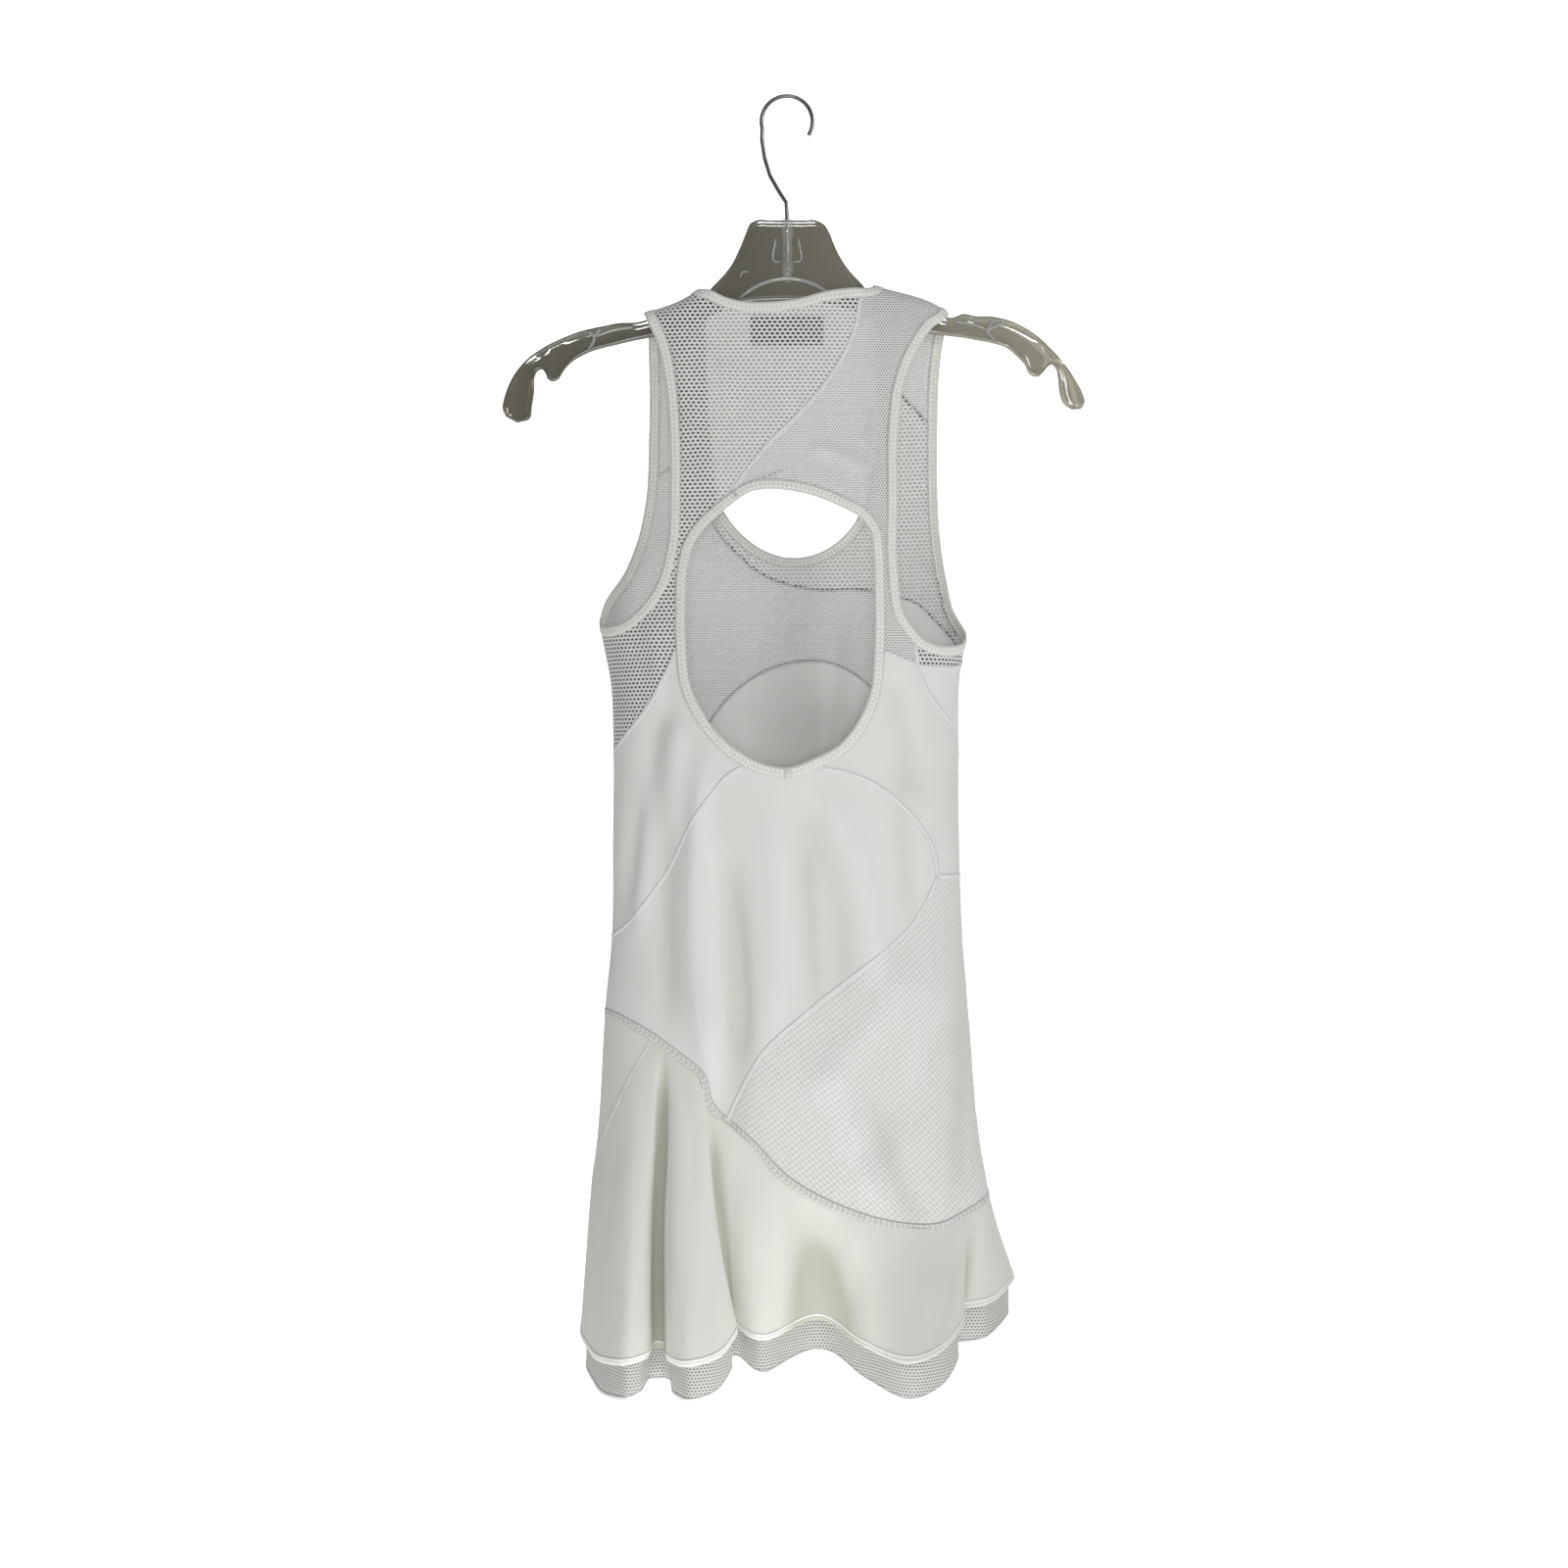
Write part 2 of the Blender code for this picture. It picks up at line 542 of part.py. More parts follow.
def to_chart(angle):
    """Length round a typical ring, which spaces points evenly."""
    return np.interp(angle, ARC_ANGLE, ARC_LENGTH)


def from_chart(length):
    return np.interp(length, ARC_LENGTH, ARC_ANGLE)


# Seams.

def placed(row):
    """Angle and chart height of a table row."""
    kind, value, z = row
    if kind == "A":
        return math.radians(value), z
    guess = z if z < TOP else shoulder(value) + CAP_RISE
    if z < TOP:
        drop = shoulder(value) - z
        if drop < CAP_RADIUS:
            run = CAP_RADIUS * math.acos(1 - max(drop, 0.0) / CAP_RADIUS)
            guess = shoulder(value) + CAP_RISE - run
    centre, half, _, _ = ring(guess)
    angle = math.asin(max(-1.0, min(1.0, (value - centre) / half)))
    if kind == "F":
        angle = math.pi - angle
    return angle, float(guess)


def unwrap(angles):
    """Angles made continuous along a curve."""
    return np.unwrap(np.asarray(angles, float))


def along(points, step):
    """Evenly spaced places on a dense chart curve, about a step apart."""
    place = body(points[:, 0], points[:, 1])
    length = np.concatenate([[0.0], np.cumsum(np.linalg.norm(
        np.diff(place, axis=0), axis=1))])
    count = max(1, round(length[-1] / step))
    wanted = np.linspace(0, length[-1], count + 1)
    return np.column_stack([np.interp(wanted, length, points[:, 0]),
                            np.interp(wanted, length, points[:, 1])])


def cut_seams():
    """Every seam as evenly spaced chart places, shared by its neighbours."""
    seams = {}
    for name, (first, between, last) in SEAMS.items():
        front = any(row[0] == "F" for row in between)
        start, end = CORNERS[first], CORNERS[last]
        if front and start[2] == TOP:
            start = ("F", start[1], TOP)
        if front and end[2] == TOP:
            end = ("F", end[1], TOP)
        rows = np.array([placed(row) for row in (start, *between, end)])
        rows[:, 0] = unwrap(rows[:, 0])
        chart = np.column_stack([to_chart(rows[:, 0]), rows[:, 1]])
        dense = spline(chart)
        dense[:, 0] = from_chart(dense[:, 0])
        seams[name] = along(dense, SEAM_STEP)
    return seams


def seam_run(seams, names):
    """Seams joined end to end; each keeps its last point for the next."""
    runs = []
    for name in names:
        points = seams[name.lstrip("-")]
        runs.append(points[::-1] if name.startswith("-") else points)
    return runs


# Solids.

def add_object(name, points, faces, collection):
    """A mesh object from points in millimetres."""
    mesh = bpy.data.meshes.new(name)
    mesh.from_pydata((np.asarray(points) * METRES).tolist(), [],
                     [list(map(int, face)) for face in faces])
    mesh.validate()
    mesh.update()
    item = bpy.data.objects.new(name, mesh)
    collection.objects.link(item)
    return item


def outline_inset(points, normal, amount):
    """Outline moved inwards in the cloth, mitred at its corners."""
    ahead = np.roll(points, -1, axis=0) - points
    ahead /= np.linalg.norm(ahead, axis=1, keepdims=True)
    back = np.roll(ahead, 1, axis=0)
    inward = np.cross(normal, ahead)
    inward_back = np.cross(normal, back)
    total = inward + inward_back
    scale = 2.0 / np.maximum((total**2).sum(1, keepdims=True), 0.35)
    return points + total * scale * amount


def inside(points, outline):
    """Which points lie inside a closed outline."""
    x, y = points[:, :1], points[:, 1:]
    x0, y0 = outline[:, 0], outline[:, 1]
    x1, y1 = np.roll(x0, -1), np.roll(y0, -1)
    crosses = (y0 > y) != (y1 > y)
    rise = np.where(y1 == y0, 1e-9, y1 - y0)
    return (crosses & (x < (x1 - x0) * (y - y0) / rise + x0)).sum(1) % 2 == 1


def distance_to(points, outline):
    """Distance from each point to the nearest side of an outline."""
    start = outline[None]
    side = np.roll(outline, -1, axis=0)[None] - start
    offset = points[:, None] - start
    share = (offset * side).sum(2) / (side**2).sum(2)
    near = offset - np.clip(share, 0, 1)[..., None] * side
    return np.sqrt((near**2).sum(2)).min(1)


def panel_mesh(outline, step_x, step_y, near_top):
    """Triangles over an outline in the chart, with staggered inner points."""
    low, high = outline.min(0), outline.max(0)
    columns = np.arange(low[0] + step_x / 2, high[0], step_x)
    rows = np.arange(low[1] + step_y / 2, high[1], step_y)
    grid = np.stack(np.meshgrid(columns, rows), -1)
    grid[1::2, :, 0] += step_x / 2
    grid = grid.reshape(-1, 2)
    if len(near_top):
        grid = np.vstack([near_top, grid[distance_to(
            grid, near_top) > 0.5 * step_x]])
    grid = grid[inside(grid, outline)]
    clear = distance_to(grid, outline)
    capped = np.arange(len(grid)) < len(near_top)
    grid = grid[clear > np.where(capped, 4.0, 0.5 * min(step_x, step_y))]
    points = np.vstack([outline, grid])
    count = len(outline)
    found, _, faces, origin, _, _ = delaunay_2d_cdt(
        [tuple(p) for p in points], [], [list(range(count))], 1, 1e-6)
    source = [ids[0] for ids in origin]
    return points, [[source[i] for i in face] for face in faces]


def thick_sheet(outer, inner, faces, rim):
    """Closed wall between two point sets with the same triangles."""
    count = len(outer)
    result = [list(face) for face in faces]
    result += [[i + count for i in reversed(face)] for face in faces]
    result += [[rim[i - 1], rim[i - 1] + count, rim[i] + count, rim[i]]
               for i in range(len(rim))]
    return np.vstack([outer, inner]), result


def panel(name, outline, surface, surface_normal, chart_steps, collection,
          near_top=()):
    """One cloth panel: triangulated in its chart, draped and thickened."""
    area = 0.5 * np.sum(outline[:, 0] * np.roll(outline[:, 1], -1)
                        - np.roll(outline[:, 0], -1) * outline[:, 1])
    if area < 0:
        outline = outline[::-1]
    points, faces = panel_mesh(outline, *chart_steps, near_top)
    place = surface(points[:, 0], points[:, 1])
    normal = surface_normal(points[:, 0], points[:, 1])
    count = len(outline)
    place[:count] = outline_inset(place[:count], normal[:count],
                                  SEAM_GAP / 2)
    solid = thick_sheet(place, place - normal * WALL, faces,
                        list(range(count)))
    return add_object(name, *solid, collection)


def chart_body(length, height):
    return body(from_chart(length), height)


def chart_body_normal(length, height):
    return body_normal(from_chart(length), height)


def body_panels(seams, collection):
    for name, names in PANELS.items():
        runs = seam_run(seams, names)
        loop = np.vstack([run[:-1] for run in runs])
        # a seam written on the other side of the shoulder is the same line
        if name.startswith("front"):
            for start, run in zip(np.cumsum([0] + [len(r) - 1
                                                   for r in runs]), runs):
                if np.all(run[:, 1] > shoulder_top_height(run[:, 0]) - 0.5):
                    span = slice(start, start + len(run) - 1)
                    loop[span, 0] = math.pi - loop[span, 0]
            loop[:, 0] = np.mod(loop[:, 0], 2 * math.pi)
        else:
            loop[:, 0] = np.mod(loop[:, 0] + math.pi, 2 * math.pi) - math.pi
        outline = np.column_stack([to_chart(loop[:, 0]), loop[:, 1]])
        top = outline[loop[:, 1] > shoulder_top_height(loop[:, 0]) - 0.5]
        near_top = [top - (0.0, drop) for drop in CAP_ROWS]
        panel(name, outline, chart_body, chart_body_normal,
              (GRID_STEP, GRID_STEP * 0.9), collection,
              np.vstack(near_top) if len(top) else ())


def shoulder_top_height(angle):
    """Chart height of the shoulder line at an angle near the top."""
    centre, half, _, _ = ring(-130.0)
    return shoulder(centre + half * np.sin(angle)) + CAP_RISE


def strip(name, seams, names, ring_closed, collection):
    """A binding: a strip beside a run of seams, on the open side of it."""
    runs = seam_run(seams, names)
    stations = np.vstack([run[:-1] for run in runs] + [runs[-1][-1:]])
    if ring_closed:
        stations = stations[:-1]
    angle, height = stations.T
    place = body(angle, height)
    normal = body_normal(angle, height)
    ahead = np.roll(place, -1, axis=0) - place
    back = place - np.roll(place, 1, axis=0)
    if not ring_closed:
        ahead[-1], back[0] = back[-1], ahead[0]
    tangent = (ahead / np.linalg.norm(ahead, axis=1, keepdims=True)
               + back / np.linalg.norm(back, axis=1, keepdims=True))
    tangent /= np.linalg.norm(tangent, axis=1, keepdims=True)
    across = np.cross(normal, tangent)
    across /= np.linalg.norm(across, axis=1, keepdims=True)
    edges = []
    for amount in (SEAM_GAP / 2, BINDING_WIDTH / 2, BINDING_WIDTH):
        moved = place + across * amount
        spot = nearest_chart(angle, height, moved)
        edge = body(*spot)
        edge_normal = body_normal(*spot)
        if not ring_closed:
            edge[0] += tangent[0] * SEAM_GAP / 2
            edge[-1] -= tangent[-1] * SEAM_GAP / 2
        edges.append((edge, edge_normal))
    return strip_solid(name, edges, ring_closed, collection)


def nearest_chart(angle, height, wanted):
    """Chart place whose point on the form is nearest a wanted point."""
    angle, height = angle.copy(), height.copy()
    for _ in range(4):
        here = body(angle, height)
        by_angle = (body(angle + 1e-3, height) - here) / 1e-3
        by_height = (here - body(angle, height - 0.1)) / 0.1
        error = wanted - here
        aa = (by_angle**2).sum(1)
        bb = (by_height**2).sum(1)
        ab = (by_angle * by_height).sum(1)
        ea = (error * by_angle).sum(1)
        eb = (error * by_height).sum(1)
        scale = np.maximum(aa * bb - ab * ab, 1e-6)
        angle = angle + (ea * bb - eb * ab) / scale
        height = height + (eb * aa - ea * ab) / scale
        centre, half, _, _ = ring(height)
        top = shoulder(centre + half * np.sin(angle)) + CAP_RISE
        height = np.minimum(height, top)
    return angle, height


def strip_solid(name, edges, ring_closed, collection):
    """Closed wall through the edge lines of a strip."""
    count = len(edges[0][0])
    loops = [edge + normal * BINDING_OUT for edge, normal in edges]
    loops += [edge - normal * (BINDING_WALL - BINDING_OUT)
              for edge, normal in reversed(edges)]
    points = np.vstack(loops)
    sides = len(loops)
    faces = []
    last = count if ring_closed else count - 1
    for i in range(last):
        j = (i + 1) % count
        for k in range(sides):
            m = (k + 1) % sides
            faces.append([k * count + i, k * count + j,
                          m * count + j, m * count + i])
    if not ring_closed:
        faces.append([k * count for k in range(sides)])
        faces.append([k * count + count - 1 for k in reversed(range(sides))])
    return add_object(name, points, faces, collection)


# Flounce.

def wave_rows():
    """Wave table repeated once on each side, so it reads as a ring."""
    rows = np.array(WAVES)
    before, after = rows.copy(), rows.copy()
    before[:, 0] -= 360.0
    after[:, 0] += 360.0
    return np.vstack([before, rows, after])


WAVE_COUNT = len(WAVES)
WAVE_DENSE = 16


def dense_waves():
    rows = wave_rows()
    index = np.arange(len(rows), dtype=float) - WAVE_COUNT
    hem = spline_over_first(np.column_stack([index, rows]), WAVE_DENSE)
    return hem


HEM = dense_waves()


def flounce_seam_table(seams):
    """Angle and height of the whole flounce seam, once round and repeated."""
    runs = seam_run(seams, ("flounce_gore", "flounce_left", "flounce_right",
                            "flounce_front"))
    angle = unwrap(np.concatenate([run[:-1, 0] for run in runs]))
    height = np.concatenate([run[:-1, 1] for run in runs])
    turn = 2 * math.pi
    return (np.concatenate([angle - turn, angle, angle + turn]),
            np.concatenate([height, height, height]))


class Flounce:
    """The flounce surface over wave row and drop below the seam."""

    def __init__(self, seams):
        self.angle, self.height = flounce_seam_table(seams)

    def wave_at(self, angle):
        """Wave row that starts at an angle of the seam."""
        return np.interp(np.degrees(angle), HEM[:, 1], HEM[:, 0])

    def start(self, wave):
        angle = np.radians(np.interp(wave, HEM[:, 0], HEM[:, 1]))
        return angle, np.interp(angle, self.angle, self.height)

    def even_waves(self, first, last):
        """Wave values spaced by length and, in tight folds, by wave."""
        dense = np.linspace(first, last, 1200)
        line = self.place(dense, np.full(dense.shape, 0.6))
        length = np.concatenate([[0.0], np.cumsum(np.linalg.norm(
            np.diff(line, axis=0), axis=1))])
        share = length / UNDERLAYER_STEP + (dense - first) * WAVE_POINTS
        count = round(share[-1])
        return np.interp(np.linspace(0, share[-1], count + 1), share, dense)

    def level_seam(self, angle):
        """Seam height with its short steep stretch evened out."""
        spread = np.linspace(-0.16, 0.16, 9)
        near = [np.interp(angle + move, self.angle, self.height)
                for move in spread]
        return np.mean(near, axis=0) - 3.0

    def place(self, wave, drop):
        """Ring form at first, opening into the waves towards the hem."""
        angle, seam = self.start(wave)
        hem = np.stack([np.interp(wave, HEM[:, 0], HEM[:, i])
                        for i in (2, 3, 4)], -1)
        share = np.clip(drop, -0.2, 1.0)
        height = seam + (hem[..., 2] - seam) * share
        form = ring_point(angle, height)
        foot = ring_point(angle, hem[..., 2])
        opening = np.sign(share) * np.abs(share)**WAVE_SPREAD
        offset = body(angle, seam) - ring_point(angle, seam)
        keep = (1 - np.clip(share, 0, 1))**2
        return (form + (hem - foot) * opening[..., None]
                + offset * keep[..., None])

    def normal(self, wave, drop):
        drop = np.clip(drop, 0.0, 0.99)
        return -normals(self.place, wave, drop, 0.02, 0.01)


def ring_point(angle, height):
    centre, half, back, front = ring(height)
    cosine = np.cos(angle)
    depth = np.where(cosine > 0, back, front)
    return np.stack([centre + half * np.sin(angle), -depth * cosine, height],
                    -1)


def flounce_panels(seams, flounce, collection):
    """Two pieces: the back, and the front that turns on to the left back."""
    top_back = np.vstack([run[:-1] for run in seam_run(
        seams, ("flounce_left", "flounce_right"))])
    front = seams["flounce_front"]
    gore = seams["flounce_gore"]
    side_angle = flounce.start(np.array([SIDE_WAVE]))[0][0]
    split = front[:, 0] < side_angle - 0.02
    top_back = np.vstack([top_back, front[split]])
    wave_back = flounce.wave_at(top_back[:, 0])
    wave_back = np.append(wave_back, SIDE_WAVE)
    later = front[front[:, 0] > side_angle + 0.02][:-1]
    turn = 2 * math.pi
    wave_front = np.concatenate([[SIDE_WAVE],
                                 flounce.wave_at(later[:, 0]),
                                 flounce.wave_at(gore[:, 0] + turn)])
    drops = np.linspace(0, 1, 15)[1:-1]
    gore_wave = wave_back[0] + (GORE_HEM_WAVE - wave_back[0]) * drops**0.75
    side_drops = np.linspace(0, 1, 8)[1:-1]
    quarter = 0.25
    hem_back = np.arange(np.ceil(SIDE_WAVE / quarter) - 1,
                         GORE_HEM_WAVE / quarter, -1) * quarter
    hem_front = np.arange(
        np.ceil((GORE_HEM_WAVE + WAVE_COUNT) / quarter) - 1,
        SIDE_WAVE / quarter, -1) * quarter
    scale = np.array([WAVE_PITCH, -FLOUNCE_CHART])

    def curve(waves, drop):
        return np.column_stack([waves, np.broadcast_to(drop, waves.shape)])

    back = np.vstack([
        curve(wave_back, 0.0),
        np.column_stack([np.full(len(side_drops), SIDE_WAVE), side_drops]),
        curve(np.append(SIDE_WAVE, hem_back), 1.0),
        curve(np.array([GORE_HEM_WAVE]), 1.0),
        np.column_stack([gore_wave[::-1], drops[::-1]]),
    ])
    shifted = gore_wave + WAVE_COUNT
    front_piece = np.vstack([
        curve(wave_front, 0.0),
        np.column_stack([shifted, drops]),
        curve(np.array([GORE_HEM_WAVE + WAVE_COUNT]), 1.0),
        curve(hem_front, 1.0),
        curve(np.array([SIDE_WAVE]), 1.0),
        np.column_stack([np.full(len(side_drops), SIDE_WAVE),
                         side_drops[::-1]]),
    ])

    def surface(x, y):
        return flounce.place(x / WAVE_PITCH, -y / FLOUNCE_CHART)

    def surface_normal(x, y):
        return flounce.normal(x / WAVE_PITCH, -y / FLOUNCE_CHART)

    for name, outline in (("flounce_back", back),
                          ("flounce_front", front_piece)):
        panel(name, outline * scale, surface, surface_normal,
              (WAVE_PITCH / 4, FLOUNCE_CHART / 6), collection)


def underlayer(name, flounce, first, last, collection):
    """Mesh layer inside the flounce, hanging a little below its hem."""
    waves = flounce.even_waves(first, last)
    count = len(waves) - 1
    hem_height = np.interp(waves, HEM[:, 0], HEM[:, 4])
    angle, seam = flounce.start(waves)
    length = seam - hem_height
    level = flounce.level_seam(angle)
    lines = []
    for step, share in enumerate(np.linspace(0, 1, 7)):
        height = level + (hem_height - UNDERLAYER_LONGER - level) * share
        drop = np.minimum((seam - height) / length, 1.0)
        extra = np.maximum(hem_height - height, 0.0)
        place = flounce.place(waves, drop)
        normal = flounce.normal(waves, np.maximum(drop, 0.02))
        gap = WALL + (SEAM_GAP * 2.5 if step == 0 else UNDERLAYER_GAP)
        place = place - normal * gap
        place[:, 2] -= extra
        tangent = np.gradient(place, axis=0)
        tangent /= np.linalg.norm(tangent, axis=1, keepdims=True)
        place[0] += tangent[0] * SEAM_GAP / 2
        place[-1] -= tangent[-1] * SEAM_GAP / 2
        lines.append((place, place - normal * WALL))
    rows = len(lines)
    outer = np.vstack([line[0] for line in lines])
    inner = np.vstack([line[1] for line in lines])
    width = count + 1
    faces = []
    for i in range(rows - 1):
        for j in range(count):
            a = i * width + j
            faces.append([a, a + width, a + width + 1])
            faces.append([a, a + width + 1, a + 1])
    rim = ([i * width for i in range(rows)]
           + [(rows - 1) * width + j for j in range(1, width)]
           + [i * width + count for i in range(rows - 2, -1, -1)]
           + [j for j in range(count - 1, 0, -1)])
    solid = thick_sheet(outer, inner, faces, rim)
    return add_object(name, *solid, collection)


# Label, hanger and hook.

def neck_label(collection):
    """Bare label lying inside the back mesh."""
    left, right, bottom, top = LABEL
    columns = np.linspace(left, right, 6)
    rows = np.linspace(bottom, top, 4)
    x, z = (a.reshape(-1) for a in np.meshgrid(columns, rows))
    spots = np.array([placed(("B", *spot)) for spot in zip(x, z)])
    normal = body_normal(*spots.T)
    outer = body(*spots.T) - normal * (WALL + SEAM_GAP)
    faces = []
    for i in range(len(rows) - 1):
        for j in range(len(columns) - 1):
            a = i * len(columns) + j
            b = a + len(columns)
            faces.append([a, a + 1, b + 1])
            faces.append([a, b + 1, b])
    wide, tall = len(columns), len(rows)
    rim = ([j for j in range(wide)]
           + [i * wide + wide - 1 for i in range(1, tall)]
           + [(tall - 1) * wide + j for j in range(wide - 2, -1, -1)]
           + [i * wide for i in range(tall - 2, 0, -1)])
    solid = thick_sheet(outer, outer - normal * LABEL_WALL, faces, rim)
    return add_object("neck_label", *solid, collection)


def hanger_blank(collection):
    """Flat arm and neck plate with a raised rim, through the table rows."""
    rows = np.array(HANGER)
    top, bottom = rows[:, :2], rows[:, 2:]
    rise = top - bottom
    width = np.linalg.norm(rise, axis=1, keepdims=True)
    share = HANGER_RIM / width[:, 0]
    one = np.ones_like(share)
    section = (
        (0 * one, -HANGER_HALF), (share, -HANGER_HALF),
        (share, -HANGER_WEB_HALF), (1 - share, -HANGER_WEB_HALF),
        (1 - share, -HANGER_HALF), (one, -HANGER_HALF),
        (one, HANGER_HALF), (1 - share, HANGER_HALF),
        (1 - share, HANGER_WEB_HALF), (share, HANGER_WEB_HALF),
        (share, HANGER_HALF), (0 * one, HANGER_HALF),
    )
    rings = []
    for place, depth in section:
        flat = bottom + rise * place[:, None]
        rings.append(np.column_stack([flat[:, 0],
                                      np.full(len(flat), depth),
                                      flat[:, 1]]))
    points = np.stack(rings, 1).reshape(-1, 3)
    sides = len(section)
    faces = []
    for i in range(len(rows) - 1):
        for k in range(sides):
            m = (k + 1) % sides
            a, b = i * sides, (i + 1) * sides
            faces.append([a + k, b + k, b + m, a + m])
    last = (len(rows) - 1) * sides
    faces.append(list(range(sides)))
    faces.append([last + k for k in reversed(range(sides))])
    return add_object("hanger_body", points, faces, collection)


def cylinder(name, radius, top, length, collection):
    bpy.ops.mesh.primitive_cylinder_add(
        vertices=24, radius=radius * METRES, depth=length * METRES,
        location=(0.0, 0.0, (top - length / 2) * METRES))
    item = bpy.context.object
    item.name = name
    move_to(item, collection)
    return item


def move_to(item, collection):
    for owner in list(item.users_collection):
        owner.objects.unlink(item)
    collection.objects.link(item)


def combine(target, other, operation):
    """Union or cut, applied at once, with the other object removed."""
    change = target.modifiers.new(operation.lower(), "BOOLEAN")
    change.operation = operation
    change.solver = "EXACT"
    change.object = other
    bpy.context.view_layer.objects.active = target
    bpy.ops.object.modifier_apply(modifier=change.name)
    bpy.data.objects.remove(other, do_unlink=True)


def hanger(collection):
    """Hanger plate with a hub that takes the hook's shank in a bore."""
    plate = hanger_blank(collection)
    hub = cylinder("hub", HUB_RADIUS, HUB_TOP, HUB_LENGTH, collection)
    bpy.ops.mesh.primitive_cube_add(
        size=1.0, location=(0.0, 0.0, BRACKET_CENTRE * METRES))
    bracket = bpy.context.object
    bracket.scale = [side * METRES for side in BRACKET]
    bpy.ops.object.transform_apply(location=True, rotation=False, scale=True)
    move_to(bracket, collection)
    combine(plate, hub, "UNION")
    combine(plate, bracket, "UNION")
    bore = cylinder("bore", BORE_RADIUS, HUB_TOP + 2.0, BORE_DEPTH + 2.0,
                    collection)
    combine(plate, bore, "DIFFERENCE")
    return plate


def hook(collection):
    """Wire with a collar in the hub, a curved shank and an open circle."""
    middle = WIRE_RADIUS - HOOK_RADIUS
    start, end = math.radians(195.0), math.radians(HOOK_END_DEGREES)
    arc = [(HOOK_RADIUS * math.cos(a), middle + HOOK_RADIUS * math.sin(a))
           for a in np.linspace(start, end, 22)]
    route = list(SHANK) + arc
    curve = bpy.data.curves.new("hanger_hook", "CURVE")
    curve.dimensions = "3D"
    curve.bevel_depth = WIRE_RADIUS * METRES
    curve.bevel_resolution = 2
    curve.use_fill_caps = True
    line = curve.splines.new("POLY")
    line.points.add(len(route) - 1)
    for point, (x, z) in zip(line.points, route):
        point.co = (x * METRES, 0.0, z * METRES, 1.0)
        point.radius = COLLAR_SWELL if -116.5 < z < -106.5 else 1.0
    item = bpy.data.objects.new("hanger_hook", curve)
    collection.objects.link(item)
    return item


# Build.

def paint(collection):
    made = {}
    for slot, (colour, rough, metal, alpha) in LOOKS.items():
        look = bpy.data.materials.new(slot)
        look.use_nodes = True
        shader = look.node_tree.nodes["Principled BSDF"]
        shader.inputs["Base Color"].default_value = (*colour, 1.0)
        shader.inputs["Roughness"].default_value = rough
        shader.inputs["Metallic"].default_value = metal
        shader.inputs["Alpha"].default_value = alpha
        look.diffuse_color = (*colour, alpha)
        made[slot] = look
    for item in collection.objects:
        slot = MATERIAL_OF.get(item.name, "binding_white")
        item.data.materials.append(made[slot])


def main():
    for item in list(bpy.data.objects):
        bpy.data.objects.remove(item, do_unlink=True)
    collection = bpy.data.collections.new("tennis_dress_on_hanger")
    bpy.context.scene.collection.children.link(collection)
    seams = cut_seams()
    body_panels(seams, collection)
    for name, (names, ring_closed) in BINDINGS.items():
        strip(name, seams, names, ring_closed, collection)
    flounce = Flounce(seams)
    flounce_panels(seams, flounce, collection)
    underlayer("underflounce_back", flounce, -0.5, SIDE_WAVE, collection)
    underlayer("underflounce_front", flounce, SIDE_WAVE, WAVE_COUNT - 0.5,
               collection)
    neck_label(collection)
    hanger(collection)
    hook(collection)
    paint(collection)


if __name__ == "__main__":
    main()
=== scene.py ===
"""Looks of the tennis dress on its clear hanger: knits, meshes, bindings, stitching.

The cloth follows the same form, seams and folds as the solids, from the same
named values, in much finer grids.  Sizes are in millimetres until a mesh is made.
"""
import math

import bmesh
import bpy
import numpy as np
from bpy.props import FloatProperty, FloatVectorProperty, PointerProperty
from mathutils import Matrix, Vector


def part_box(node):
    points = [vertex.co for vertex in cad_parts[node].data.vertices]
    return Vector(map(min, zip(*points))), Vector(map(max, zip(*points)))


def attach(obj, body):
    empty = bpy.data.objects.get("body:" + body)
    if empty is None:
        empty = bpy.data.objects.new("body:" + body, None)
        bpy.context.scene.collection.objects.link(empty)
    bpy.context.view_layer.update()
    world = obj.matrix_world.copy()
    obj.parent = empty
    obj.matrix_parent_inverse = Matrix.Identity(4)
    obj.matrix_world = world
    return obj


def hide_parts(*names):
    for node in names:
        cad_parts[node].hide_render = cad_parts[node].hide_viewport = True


bl_info = {
    "name": "Tennis dress on hanger",
    "version": (1, 0, 0),
    "blender": (4, 5, 0),
    "location": "3D View > Sidebar > Dress",
    "description": "Builds the visible cloth, trims, hanger finish and stage of a tennis dress",
    "category": "Object",
}

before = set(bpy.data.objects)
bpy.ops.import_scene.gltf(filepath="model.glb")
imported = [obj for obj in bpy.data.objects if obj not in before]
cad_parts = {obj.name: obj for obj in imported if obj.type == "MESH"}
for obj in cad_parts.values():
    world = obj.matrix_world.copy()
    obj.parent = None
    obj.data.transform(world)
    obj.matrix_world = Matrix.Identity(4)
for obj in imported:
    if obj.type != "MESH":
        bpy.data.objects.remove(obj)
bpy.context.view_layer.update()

METRES = 0.001
SEAM_STEP = 2.7          # spacing of points along a seam
WEAVE_STEP = 3.9         # spacing of grid lines in a panel
WALL = 1.2               # wall of the solids, which the underlayer clears
CLOTH = 0.8              # thickness of the visible cloth
BINDING_WIDTH = 7.5
UNDERLAYER_GAP = 3.4
UNDERLAYER_LONGER = 24.0
UNDERLAYER_STEP = 3.0
WAVE_POINTS = 3.0
CAP_RADIUS = 12.0        # round of the cloth over the hanger's shoulder
CAP_RISE = CAP_RADIUS * (math.pi / 2 - 1)
ARCH = 135.0             # half width and half depth of a typical ring,
ARCH_DEPTH = 55.0        # used to measure length round the body

